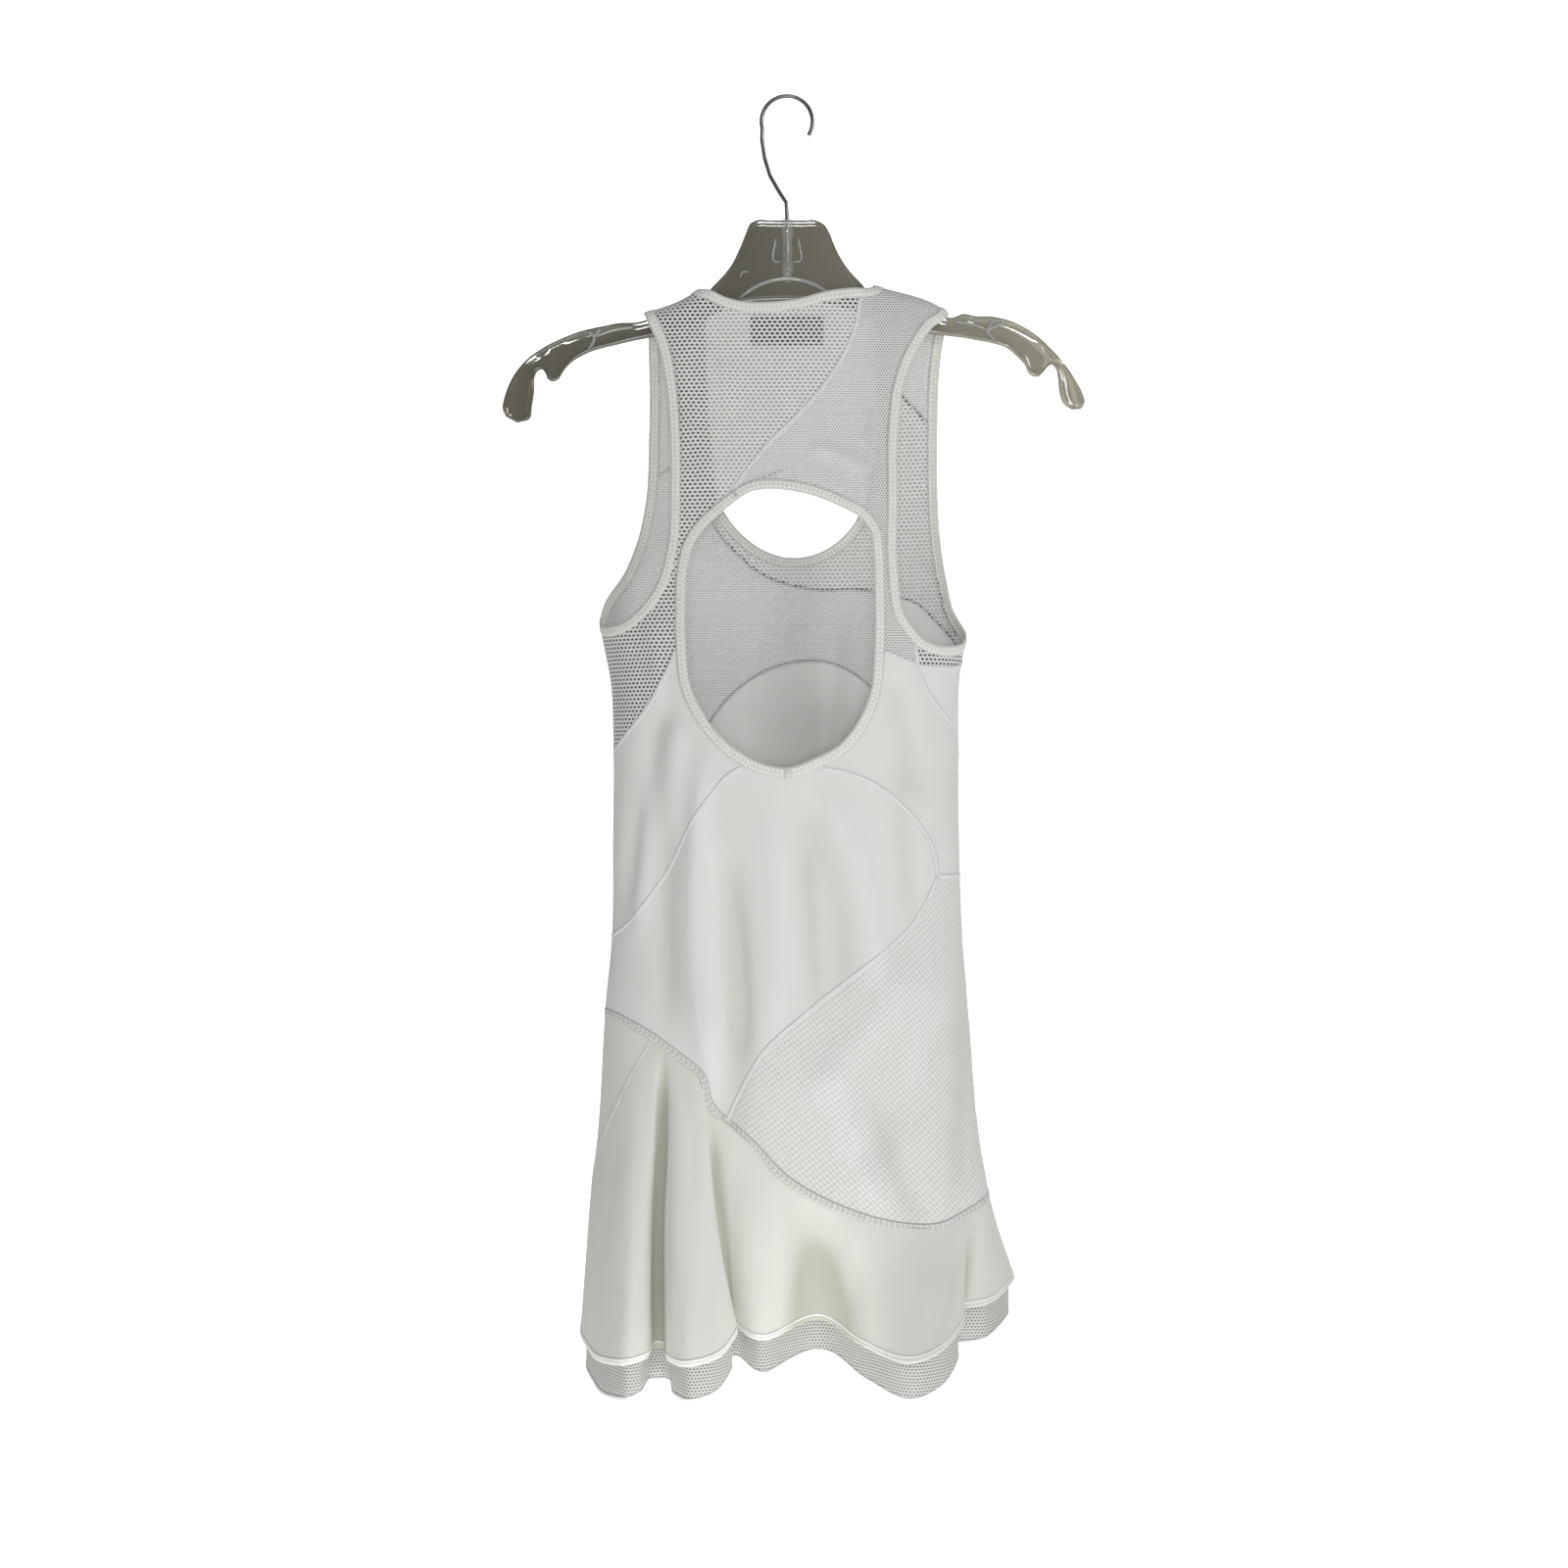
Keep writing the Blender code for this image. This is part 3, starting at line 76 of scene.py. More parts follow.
# Rings: height, left edge, right edge, depth to the back, depth to the front
RINGS = (
    (-920.0, -156.0, 170.0, 76.0, 73.0),
    (-820.0, -148.0, 151.0, 67.0, 64.0),
    (-765.0, -141.0, 142.0, 62.0, 60.0),
    (-677.0, -135.0, 135.0, 57.0, 56.0),
    (-619.0, -130.0, 130.0, 54.0, 54.0),
    (-546.0, -129.0, 128.0, 54.0, 54.0),
    (-481.0, -129.0, 127.5, 55.0, 56.0),
    (-437.0, -130.5, 128.0, 54.0, 56.0),
    (-393.0, -138.5, 134.0, 50.0, 52.0),
    (-320.0, -139.0, 136.0, 40.0, 44.0),
    (-260.0, -139.0, 138.0, 30.0, 34.0),
    (-200.0, -139.0, 140.0, 20.0, 22.0),
    (-160.0, -139.0, 141.0, 13.0, 13.0),
    (-120.0, -139.0, 141.0, 10.0, 10.0),
)

# Shoulder line over the hanger: x, height
SHOULDERS = (
    (-145.0, -178.0),
    (-107.0, -160.7),
    (-82.0, -152.0),
    (-66.0, -143.5),
    (-50.0, -136.0),
    (0.0, -130.0),
    (45.0, -133.0),
    (62.0, -139.3),
    (79.0, -143.0),
    (115.0, -156.2),
    (122.0, -162.5),
    (145.0, -176.0),
)

# Folds of the hanging cloth: side (-1 back, +1 front), upper end x and height,
# lower end x and height, bow to the right, half width, height of the fold
FOLDS = (
    (-1, -56.0, -475.0, -54.0, -735.0, -13.0, 9.0, 5.5),
    (-1, -50.0, -545.0, -30.0, -720.0, 3.0, 8.0, -5.0),
    (-1, -79.0, -455.0, -81.0, -560.0, -2.0, 8.0, 2.5),
    (-1, -87.0, -430.0, -120.0, -625.0, -3.0, 9.0, -4.5),
    (-1, 74.0, -420.0, 97.0, -525.0, 2.0, 8.0, -3.0),
    (-1, 4.0, -505.0, 41.0, -665.0, 9.0, 10.0, -5.0),
    (-1, 22.0, -505.0, 64.0, -670.0, 9.0, 9.0, 2.5),
    (-1, 96.0, -630.0, 8.0, -745.0, 4.0, 13.0, 2.5),
    (-1, 118.0, -660.0, 44.0, -800.0, 6.0, 13.0, -2.5),
    (1, -55.0, -430.0, -70.0, -720.0, 4.0, 14.0, 4.0),
    (1, 8.0, -360.0, 22.0, -700.0, -6.0, 15.0, -4.5),
    (1, 70.0, -430.0, 62.0, -780.0, 5.0, 14.0, 4.0),
)

# Places where seams meet: how placed, first value, height.  "B" and "F" give x
# on the back or front, "A" gives degrees round the body from the centre back,
# and a height of TOP is the shoulder line.
TOP = 0.0
CORNERS = {
    "neck_left": ("B", -71.0, TOP),
    "neck_right": ("B", 71.0, TOP),
    "arm_left": ("B", -99.5, TOP),
    "arm_right": ("B", 114.5, TOP),
    "yoke_top": ("B", 54.2, -150.5),
    "key_top": ("B", -40.7, -298.0),
    "key_diagonal": ("B", -80.2, -412.8),
    "key_arch_left": ("B", -31.0, -497.5),
    "key_arch_right": ("B", 22.0, -498.5),
    "key_fine": ("B", 70.1, -414.3),
    "armpit_left": ("A", -101.0, -391.0),
    "diagonal_end": ("A", -101.0, -490.0),
    "arch_end": ("A", -101.0, -624.0),
    "hem_left": ("A", -101.0, -676.5),
    "gusset_top": ("B", 93.2, -408.8),
    "gusset_middle": ("B", 95.3, -424.2),
    "waist": ("B", 110.0, -577.5),
    "waist_end": ("A", 96.0, -577.5),
    "hem_right": ("A", 95.0, -811.0),
    "waffle_low": ("B", -43.6, -752.5),
    "gore_top": ("B", -95.9, -694.0),
    "front_yoke_left": ("F", -60.5, -295.0),
    "front_fine_neck": ("F", 74.5, -205.0),
    "front_fine_arm": ("F", 105.8, -238.5),
    "yoke_finger": ("F", 79.0, -366.5),
    "chest_right": ("F", 77.0, -458.0),
}

# Seams: first corner, the points between, last corner
SEAMS = {
    "shoulder_left": ("arm_left", (("B", -85.0, TOP),), "neck_left"),
    "shoulder_right": ("neck_right", (("B", 93.0, TOP),), "arm_right"),
    "neck_back_left": ("neck_left", (
        ("B", -69.0, -148.3), ("B", -60.1, -151.4), ("B", -49.2, -157.1),
        ("B", -37.6, -160.5), ("B", -16.6, -162.0), ("B", 12.3, -158.6),
        ("B", 30.0, -153.6)), "yoke_top"),
    "neck_back_right": ("yoke_top", (
        ("B", 63.0, -149.2), ("B", 70.0, -145.8)), "neck_right"),
    "yoke": ("yoke_top", (
        ("B", 51.2, -169.8), ("B", 38.1, -201.3), ("B", 13.6, -234.0),
        ("B", -16.5, -265.0)), "key_top"),
    "key_upper_left": ("key_top", (
        ("B", -57.8, -311.9), ("B", -67.0, -321.2), ("B", -74.9, -334.1),
        ("B", -79.4, -352.0), ("B", -81.0, -385.0)), "key_diagonal"),
    "key_lower_left": ("key_diagonal", (
        ("B", -77.3, -438.4), ("B", -65.1, -464.8), ("B", -47.5, -485.8)),
        "key_arch_left"),
    "key_bottom": ("key_arch_left", (
        ("B", -18.4, -502.8), ("B", 0.6, -505.5)), "key_arch_right"),
    "key_lower_right": ("key_arch_right", (
        ("B", 41.4, -488.0), ("B", 57.0, -469.1), ("B", 67.1, -444.7)),
        "key_fine"),
    "key_upper_right": ("key_fine", (
        ("B", 70.6, -372.2), ("B", 69.7, -342.0), ("B", 67.4, -324.7),
        ("B", 58.7, -311.7), ("B", 40.4, -301.3), ("B", 8.5, -290.5),
        ("B", -16.5, -288.5), ("B", -28.6, -290.6)), "key_top"),
    "arm_left_back": ("arm_left", (
        ("B", -97.0, -163.5), ("B", -89.7, -179.5), ("B", -82.0, -214.0),
        ("B", -79.0, -247.2), ("B", -78.0, -294.8), ("B", -80.6, -341.9),
        ("B", -87.5, -365.9), ("B", -105.0, -389.4), ("B", -121.0, -399.8),
        ("A", -80.0, -400.5)), "armpit_left"),
    "arm_left_front": ("armpit_left", (
        ("F", -131.0, -377.0), ("F", -118.8, -358.5), ("F", -107.0, -331.0),
        ("F", -99.8, -300.0), ("F", -96.5, -250.0), ("F", -96.0, -195.0),
        ("F", -97.3, -163.0)), "arm_left"),
    "arm_right_back": ("arm_right", (
        ("B", 112.0, -160.5), ("B", 104.0, -166.0), ("B", 92.0, -182.0),
        ("B", 79.2, -212.6), ("B", 74.5, -247.0), ("B", 73.4, -300.0),
        ("B", 73.9, -362.1), ("B", 77.5, -386.5)), "gusset_top"),
    "arm_right_under": ("gusset_top", (
        ("B", 103.5, -414.3), ("B", 115.0, -416.3), ("A", 78.0, -414.0),
        ("A", 93.0, -407.0), ("F", 119.7, -382.5), ("F", 113.8, -358.0),
        ("F", 108.6, -324.0), ("F", 106.2, -285.0)), "front_fine_arm"),
    "arm_right_front": ("front_fine_arm", (
        ("F", 106.9, -200.0), ("F", 110.0, -175.0), ("F", 112.5, -162.5)),
        "arm_right"),
    "diagonal": ("key_diagonal", (
        ("B", -96.9, -446.6), ("B", -112.0, -467.0), ("A", -80.0, -484.5)),
        "diagonal_end"),
    "arch_left": ("key_arch_left", (
        ("B", -41.6, -503.2), ("B", -58.0, -523.1), ("B", -76.6, -553.2),
        ("B", -94.7, -584.7), ("B", -110.5, -606.4), ("A", -80.0, -621.0)),
        "arch_end"),
    "arch_right": ("key_arch_right", (
        ("B", 50.7, -504.4), ("B", 76.3, -519.1), ("B", 95.3, -538.0),
        ("B", 108.0, -562.0)), "waist"),
    "waist_right": ("waist", (("A", 80.0, -577.5),), "waist_end"),
    "waffle": ("waist", (
        ("B", 92.4, -610.3), ("B", 59.2, -639.2), ("B", 16.1, -672.7),
        ("B", -19.0, -705.2), ("B", -33.8, -731.1)), "waffle_low"),
    "flounce_gore": ("hem_left", (
        ("A", -90.0, -678.3), ("B", -127.5, -679.6), ("B", -113.4, -685.0)),
        "gore_top"),
    "flounce_left": ("gore_top", (
        ("B", -76.5, -707.5), ("B", -61.1, -719.4), ("B", -55.5, -739.7)),
        "waffle_low"),
    "flounce_right": ("waffle_low", (
        ("B", -24.8, -768.1), ("B", -2.9, -790.4), ("B", 34.6, -812.0),
        ("B", 79.2, -826.6), ("B", 108.1, -829.5), ("B", 134.2, -821.0)),
        "hem_right"),
    "flounce_front": ("hem_right", (
        ("A", 120.0, -804.0), ("A", 150.0, -786.0), ("A", 180.0, -758.0),
        ("A", 210.0, -724.0), ("A", 240.0, -690.0)), "hem_left"),
    "fine_bottom": ("key_fine", (("B", 82.0, -419.0),), "gusset_middle"),
    "gusset": ("gusset_top", (), "gusset_middle"),
    "side_right": ("gusset_middle", (
        ("B", 103.5, -444.3), ("B", 114.3, -457.9), ("A", 82.0, -476.0),
        ("A", 95.0, -496.0), ("A", 97.0, -530.0)), "waist_end"),
    "skirt_right": ("waist_end", (("A", 96.0, -700.0),), "hem_right"),
    "side_left_top": ("armpit_left", (("A", -101.0, -440.0),), "diagonal_end"),
    "side_left": ("diagonal_end", (("A", -101.0, -555.0),), "arch_end"),
    "side_left_low": ("arch_end", (("A", -101.0, -650.0),), "hem_left"),
    "neck_front_left": ("neck_left", (
        ("F", -69.5, -148.5), ("F", -68.5, -185.0), ("F", -65.5, -245.0)),
        "front_yoke_left"),
    "neck_front": ("front_yoke_left", (
        ("F", -42.8, -321.5), ("F", -24.7, -336.0), ("F", -2.2, -344.0),
        ("F", 18.5, -343.0), ("F", 37.2, -335.3), ("F", 55.8, -318.0),
        ("F", 69.0, -288.0), ("F", 74.5, -245.0)), "front_fine_neck"),
    "neck_front_right": ("front_fine_neck", (
        ("F", 72.5, -165.0), ("F", 71.3, -146.0)), "neck_right"),
    "front_yoke": ("front_yoke_left", (
        ("F", -54.3, -314.5), ("F", -36.6, -335.5), ("F", -20.9, -348.3), ("F", 0.1, -357.0),
        ("F", 24.8, -361.3), ("F", 56.2, -361.6)), "yoke_finger"),
    "front_yoke_side": ("yoke_finger", (
        ("F", 98.8, -373.8), ("F", 112.0, -387.0), ("A", 104.0, -408.0),
        ("A", 88.0, -420.5), ("B", 115.0, -425.2)), "gusset_middle"),
    "front_fine": ("front_fine_neck", (("F", 89.6, -220.9),),
                   "front_fine_arm"),
    "finger": ("yoke_finger", (("F", 78.0, -410.0),), "chest_right"),
    "front_arch": ("chest_right", (
        ("F", 64.6, -437.0), ("F", 45.9, -422.3), ("F", 27.9, -416.2),
        ("F", 5.1, -416.3), ("F", -20.2, -425.0), ("F", -45.2, -444.1),
        ("F", -66.7, -474.4), ("F", -88.0, -522.0), ("F", -110.0, -586.0)),
        "arch_end"),
}

# Flounce waves, one row for each crest, trough and flank: degrees round the
# body where it leaves the seam, then x, y and height where it meets the hem
WAVES = (
    (-90.0, -151.8, -18.0, -914.0),    # left side
    (-68.0, -137.0, -68.0, -919.0),    # first lobe
    (-54.0, -116.0, -98.0, -916.0),
    (-45.5, -100.0, -93.0, -913.0),
    (-41.0, -91.0, -68.0, -911.0),     # deep fold
    (-37.0, -82.5, -90.0, -915.0),     # second lobe
    (-32.0, -68.0, -109.0, -914.0),
    (-27.5, -46.0, -102.0, -908.5),
    (-24.0, -33.5, -80.0, -896.0),
    (-19.0, -38.0, -60.0, -897.0),     # its hidden inner fold
    (-9.0, -16.0, -76.0, -904.0),     # third lobe
    (6.0, 22.5, -49.0, -896.5),        # shallow recess
    (20.0, 53.0, -76.0, -908.0),       # fourth lobe
    (35.0, 84.0, -102.0, -913.6),
    (49.0, 111.0, -92.0, -905.5),
    (59.0, 127.0, -69.0, -890.0),
    (65.0, 125.0, -48.0, -889.5),      # fold before the side
    (76.0, 150.0, -40.0, -885.0),      # fifth lobe
    (90.0, 169.0, 0.0, -876.0),        # right side
    (108.0, 160.0, 40.0, -880.0),      # front, out of sight
    (122.0, 122.0, 86.0, -885.0),
    (133.0, 96.0, 60.0, -889.0),
    (145.0, 66.0, 98.0, -893.0),
    (158.0, 34.0, 64.0, -898.0),
    (172.0, 2.0, 101.0, -901.0),
    (186.0, -34.0, 66.0, -905.0),
    (200.0, -66.0, 96.0, -908.0),
    (214.0, -94.0, 74.0, -911.0),
    (232.0, -124.0, 66.0, -914.0),
    (252.0, -147.0, 28.0, -914.0),
)
WAVE_SPREAD = 1.25       # how slowly a wave opens below the seam
WAVE_PITCH = 21.0        # chart width of one row of the wave table
FLOUNCE_CHART = 190.0    # chart height of the flounce
GORE_HEM_WAVE = -2.1     # where the gore seam meets the hem, in wave rows
SIDE_WAVE = 18.5         # hidden seam of the flounce behind the right side

# Panels as ruled sheets between two rails of seams.  Pairs give places along
# the two rails that face each other: whole part the seam, fraction the share.
SHEETS = {
    "back_yoke_coarse_cloth": (
        "back_yoke_coarse", "coarse",
        ("arm_left_back", "side_left_top"),
        ("neck_back_left", "yoke", "key_upper_left", "diagonal"),
        ((0.2, 1.0), (0.47, 2.0), (0.62, 2.55), (0.8, 3.0), (1.0, 3.75))),
    "back_yoke_fine_cloth": (
        "back_yoke_fine", "fine",
        ("-neck_back_right", "yoke", "-key_upper_right"),
        ("arm_right_back", "gusset"),
        ((1.0, 0.11), (2.0, 0.39), (2.575, 0.65), (2.93, 1.0))),
    "back_side_left_cloth": (
        "back_side_left", "jersey",
        ("diagonal", "side_left"), ("key_lower_left", "arch_left"),
        ((0.55, 1.0), (1.0, 1.5))),
    "back_centre_cloth": (
        "back_centre", "jersey",
        ("arch_left", "side_left_low", "flounce_gore", "flounce_left"),
        ("arch_right", "waffle"),
        ((0.9, 1.0), (1.0, 1.1), (2.0, 1.45), (3.0, 1.6), (3.6, 1.85))),
    "back_side_right_cloth": (
        "back_side_right", "jersey",
        ("-key_lower_right", "arch_right", "waist_right"),
        ("fine_bottom", "side_right"),
        ((0.35, 1.0), (1.0, 1.35), (1.5, 1.65), (2.0, 1.9))),
    "back_skirt_waffle_cloth": (
        "back_skirt_waffle", "waffle",
        ("waffle", "flounce_right"), ("waist_right", "skirt_right"),
        ((0.15, 1.0), (0.5, 1.3), (1.0, 1.55), (1.5, 1.85))),
    "front_shoulder_cloth": (
        "front_shoulder_right", "fine",
        ("-neck_front_right",), ("-arm_right_front",), ()),
    "front_yoke_band_cloth": (
        "front_yoke_coarse", "coarse",
        ("-neck_front",),
        ("-arm_right_under:0:0.45", "-front_yoke_side:0.55:1", "-front_yoke"),
        ((0.3, 1.0), (0.42, 2.0))),
    "front_yoke_underarm_cloth": (
        "front_yoke_coarse", "coarse",
        ("-arm_right_under:0.45:1",), ("front_yoke_side:0.45:1",), ()),
    "front_chest_cloth": (
        "front_chest_fine", "fine",
        ("-side_left", "-side_left_top", "arm_left_front:0:0.5",
         "strap_line", "neck_front_left:0.75:1", "front_yoke", "finger"),
        ("-front_arch",),
        ((1.0, 0.18), (2.0, 0.40), (3.0, 0.46), (4.0, 0.53), (5.0, 0.57),
         (6.0, 0.93), (6.6, 0.97))),
    "front_strap_cloth": (
        "front_chest_fine", "fine",
        ("arm_left_front:0.5:1",), ("-neck_front_left:0.25:1",), ()),
    "front_body_cloth": (
        "front_body", "jersey",
        ("-front_arch", "-finger", "front_yoke_side"),
        ("side_left_low", "-flounce_front", "-skirt_right", "-side_right"),
        ((0.25, 1.0), (0.8, 1.6), (1.0, 2.0), (2.0, 3.0))),
}

BINDINGS = {
    "binding_neck_back": (("neck_back_left", "neck_back_right"), False),
    "binding_neck_front": (("-neck_front_right", "-neck_front",
                            "-neck_front_left"), False),
    "binding_arm_left": (("-arm_left_front", "-arm_left_back"), True),
    "binding_arm_right": (("arm_right_back", "arm_right_under",
                           "arm_right_front"), True),
    "binding_keyhole": (("key_upper_left", "key_lower_left", "key_bottom",
                         "key_lower_right", "key_upper_right"), True),
}

# Stitched tapes that cover the seams: seams in order, width, lift
TAPES = {
    "yoke": (("yoke",), 3.2),
    "diagonal": (("diagonal",), 3.2),
    "arch_left": (("arch_left",), 3.2),
    "arch_right": (("arch_right", "waist_right"), 3.2),
    "waffle": (("waffle",), 3.2),
    "side_right": (("gusset", "side_right", "skirt_right"), 3.2),
    "fine_bottom": (("fine_bottom",), 3.2),
    "front_yoke": (("front_yoke", "front_yoke_side"), 3.2),
    "front_arch": (("front_arch",), 3.2),
    "finger": (("finger",), 3.2),
    "front_fine": (("front_fine",), 3.2),
    "flounce": (("flounce_gore", "flounce_left", "flounce_right"), 6.4),
    "flounce_front": (("flounce_front",), 5.0),
}
TAPE_LIFT = 0.45


# ---- curves and tables ------------------------------------------------------

def spline(points, per_span=16):
    """Smooth curve through points (n, k): cubic spans with averaged slopes."""
    points = np.asarray(points, float)
    if len(points) == 2:
        share = np.linspace(0, 1, per_span + 1)[:, None]
        return points[0] * (1 - share) + points[1] * share
    length = np.linalg.norm(np.diff(points, axis=0), axis=1)
    rate = np.diff(points, axis=0) / length[:, None]
    slope = np.empty_like(points)
    before, after = length[:-1, None], length[1:, None]
    slope[1:-1] = (rate[:-1] * after + rate[1:] * before) / (before + after)
    slope[0] = 1.5 * rate[0] - 0.5 * slope[1]
    slope[-1] = 1.5 * rate[-1] - 0.5 * slope[-2]
    t = np.arange(per_span) / per_span
    t = t[None, :, None]
    start, end = points[:-1, None], points[1:, None]
    a = slope[:-1, None] * length[:, None, None]
    b = slope[1:, None] * length[:, None, None]
    curve = ((2 * t**3 - 3 * t**2 + 1) * start + (t**3 - 2 * t**2 + t) * a
             + (3 * t**2 - 2 * t**3) * end + (t**3 - t**2) * b)
    return np.vstack([curve.reshape(-1, points.shape[1]), points[-1:]])


def smooth_lookup(x, rows):
    """Each later column of the rows as a smooth function of the first."""
    rows = np.asarray(sorted(rows), float)
    dense = spline_over_first(rows)
    return [np.interp(x, dense[:, 0], dense[:, i])
            for i in range(1, rows.shape[1])]


def spline_over_first(rows, per_span=12):
    """Cubic through the rows with the first column as the running value."""
    x, values = rows[:, 0], rows[:, 1:]
    step = np.diff(x)
    rate = np.diff(values, axis=0) / step[:, None]
    slope = np.vstack([rate[:1], (rate[:-1] + rate[1:]) / 2, rate[-1:]])
    t = (np.arange(per_span) / per_span)[None, :, None]
    width = step[:, None, None]
    curve = ((2 * t**3 - 3 * t**2 + 1) * values[:-1, None]
             + (t**3 - 2 * t**2 + t) * slope[:-1, None] * width
             + (3 * t**2 - 2 * t**3) * values[1:, None]
             + (t**3 - t**2) * slope[1:, None] * width)
    places = x[:-1, None] + step[:, None] * t[0, :, 0][None, :]
    dense = np.column_stack([places.reshape(-1),
                             curve.reshape(-1, values.shape[1])])
    return np.vstack([dense, rows[-1:]])


def ease(value):
    """Smooth step from 0 to 1."""
    value = np.clip(value, 0.0, 1.0)
    return value * value * (3 - 2 * value)


# ---- the form of the dress --------------------------------------------------

def ring(height):
    """Centre, half width, back depth and front depth at a height."""
    left, right, back, front = smooth_lookup(height, RINGS)
    return (left + right) / 2, (right - left) / 2, back, front


def shoulder(x):
    """Height of the shoulder line at x."""
    return smooth_lookup(x, SHOULDERS)[0]


def plain_body(angle, height):
    """Oval rings, closed over the shoulders by a quarter-round cap."""
    centre, half, back, front = ring(height)
    x = centre + half * np.sin(angle)
    top = shoulder(x)
    run = top + CAP_RISE - height
    turn = np.clip(run / CAP_RADIUS, 0.0, math.pi / 2)
    drop = np.where(turn < math.pi / 2, CAP_RADIUS * (1 - np.cos(turn)),
                    run - CAP_RISE)
    cosine = np.cos(angle)
    depth = np.where(cosine > 0, back, front)
    return np.stack([x, -depth * cosine * np.sin(turn), top - drop], -1)


def normals(surface, first, second, step_first, step_second):
    """Outward unit normals of a surface by central differences."""
    along = (surface(first + step_first, second)
             - surface(first - step_first, second))
    up = (surface(first, second + step_second)
          - surface(first, second - step_second))
    normal = np.cross(along, up)
    return normal / np.linalg.norm(normal, axis=-1, keepdims=True)


def fold_height(angle, height):
    """Sum of the folds at a place on the body."""
    centre, half, _, _ = ring(height)
    x = centre + half * np.sin(angle)
    facing = np.cos(angle)
    total = np.zeros_like(x)
    for side, x0, z0, x1, z1, bow, width, size in FOLDS:
        run_x, run_z = x1 - x0, z1 - z0
        length = math.hypot(run_x, run_z)
        share = ((x - x0) * run_x + (height - z0) * run_z) / length**2
        across = ((height - z0) * run_x - (x - x0) * run_z) / length
        bend = 4 * bow * np.clip(share, 0, 1) * (1 - np.clip(share, 0, 1))
        taper = ease(share / 0.25) * ease((1 - share) / 0.25)
        seen = ease(-side * facing / 0.25)
        total = total + size * taper * seen * np.exp(
            -((across - bend) / width)**2)
    return total


def body(angle, height):
    """A place on the draped dress, folds included."""
    normal = normals(plain_body, angle, height, 1e-3, 0.1)
    return (plain_body(angle, height)
            + normal * fold_height(angle, height)[..., None])


def body_normal(angle, height):
    return normals(body, angle, height, 2e-3, 0.2)


ARC_ANGLE = np.linspace(-2 * math.pi, 4 * math.pi, 6001)
ARC_LENGTH = np.concatenate([[0.0], np.cumsum(np.hypot(
    ARCH * np.cos(ARC_ANGLE[:-1]), ARCH_DEPTH * np.sin(ARC_ANGLE[:-1]))
    * np.diff(ARC_ANGLE))])


def to_chart(angle):
    """Length round a typical ring, which spaces points evenly."""
    return np.interp(angle, ARC_ANGLE, ARC_LENGTH)


def from_chart(length):
    return np.interp(length, ARC_LENGTH, ARC_ANGLE)


# ---- seams ------------------------------------------------------------------

def placed(row):
    """Angle and chart height of a table row."""
    kind, value, z = row
    if kind == "A":
        return math.radians(value), z
    guess = z if z < TOP else shoulder(value) + CAP_RISE
    if z < TOP:
        drop = shoulder(value) - z
        if drop < CAP_RADIUS:
            run = CAP_RADIUS * math.acos(1 - max(drop, 0.0) / CAP_RADIUS)
            guess = shoulder(value) + CAP_RISE - run
    centre, half, _, _ = ring(guess)
    angle = math.asin(max(-1.0, min(1.0, (value - centre) / half)))
    if kind == "F":
        angle = math.pi - angle
    return angle, float(guess)


def unwrap(angles):
    """Angles made continuous along a curve."""
    return np.unwrap(np.asarray(angles, float))


def along(points, step):
    """Evenly spaced places on a dense chart curve, about a step apart."""
    place = body(points[:, 0], points[:, 1])
    length = np.concatenate([[0.0], np.cumsum(np.linalg.norm(
        np.diff(place, axis=0), axis=1))])
    count = max(1, round(length[-1] / step))
    wanted = np.linspace(0, length[-1], count + 1)
    return np.column_stack([np.interp(wanted, length, points[:, 0]),
                            np.interp(wanted, length, points[:, 1])])


def cut_seams():
    """Every seam as evenly spaced chart places, shared by its neighbours."""
    seams = {}
    for name, (first, between, last) in SEAMS.items():
        front = any(row[0] == "F" for row in between)
        start, end = CORNERS[first], CORNERS[last]
        if front and start[2] == TOP:
            start = ("F", start[1], TOP)
        if front and end[2] == TOP:
            end = ("F", end[1], TOP)
        rows = np.array([placed(row) for row in (start, *between, end)])
        rows[:, 0] = unwrap(rows[:, 0])
        chart = np.column_stack([to_chart(rows[:, 0]), rows[:, 1]])
        dense = spline(chart)
        dense[:, 0] = from_chart(dense[:, 0])
        seams[name] = along(dense, SEAM_STEP)
    return seams


def seam_run(seams, names):
    """Seams joined end to end; each keeps its last point for the next."""
    runs = []
    for name in names:
        points = seams[name.lstrip("-")]
        runs.append(points[::-1] if name.startswith("-") else points)
    return runs


def wave_rows():
    """Wave table repeated once on each side, so it reads as a ring."""
    rows = np.array(WAVES)
    before, after = rows.copy(), rows.copy()
    before[:, 0] -= 360.0
    after[:, 0] += 360.0
    return np.vstack([before, rows, after])


WAVE_COUNT = len(WAVES)
WAVE_DENSE = 16


def dense_waves():
    rows = wave_rows()
    index = np.arange(len(rows), dtype=float) - WAVE_COUNT
    hem = spline_over_first(np.column_stack([index, rows]), WAVE_DENSE)
    return hem


HEM = dense_waves()


def flounce_seam_table(seams):
    """Angle and height of the whole flounce seam, once round and repeated."""
    runs = seam_run(seams, ("flounce_gore", "flounce_left", "flounce_right",
                            "flounce_front"))
    angle = unwrap(np.concatenate([run[:-1, 0] for run in runs]))
    height = np.concatenate([run[:-1, 1] for run in runs])
    turn = 2 * math.pi
    return (np.concatenate([angle - turn, angle, angle + turn]),
            np.concatenate([height, height, height]))


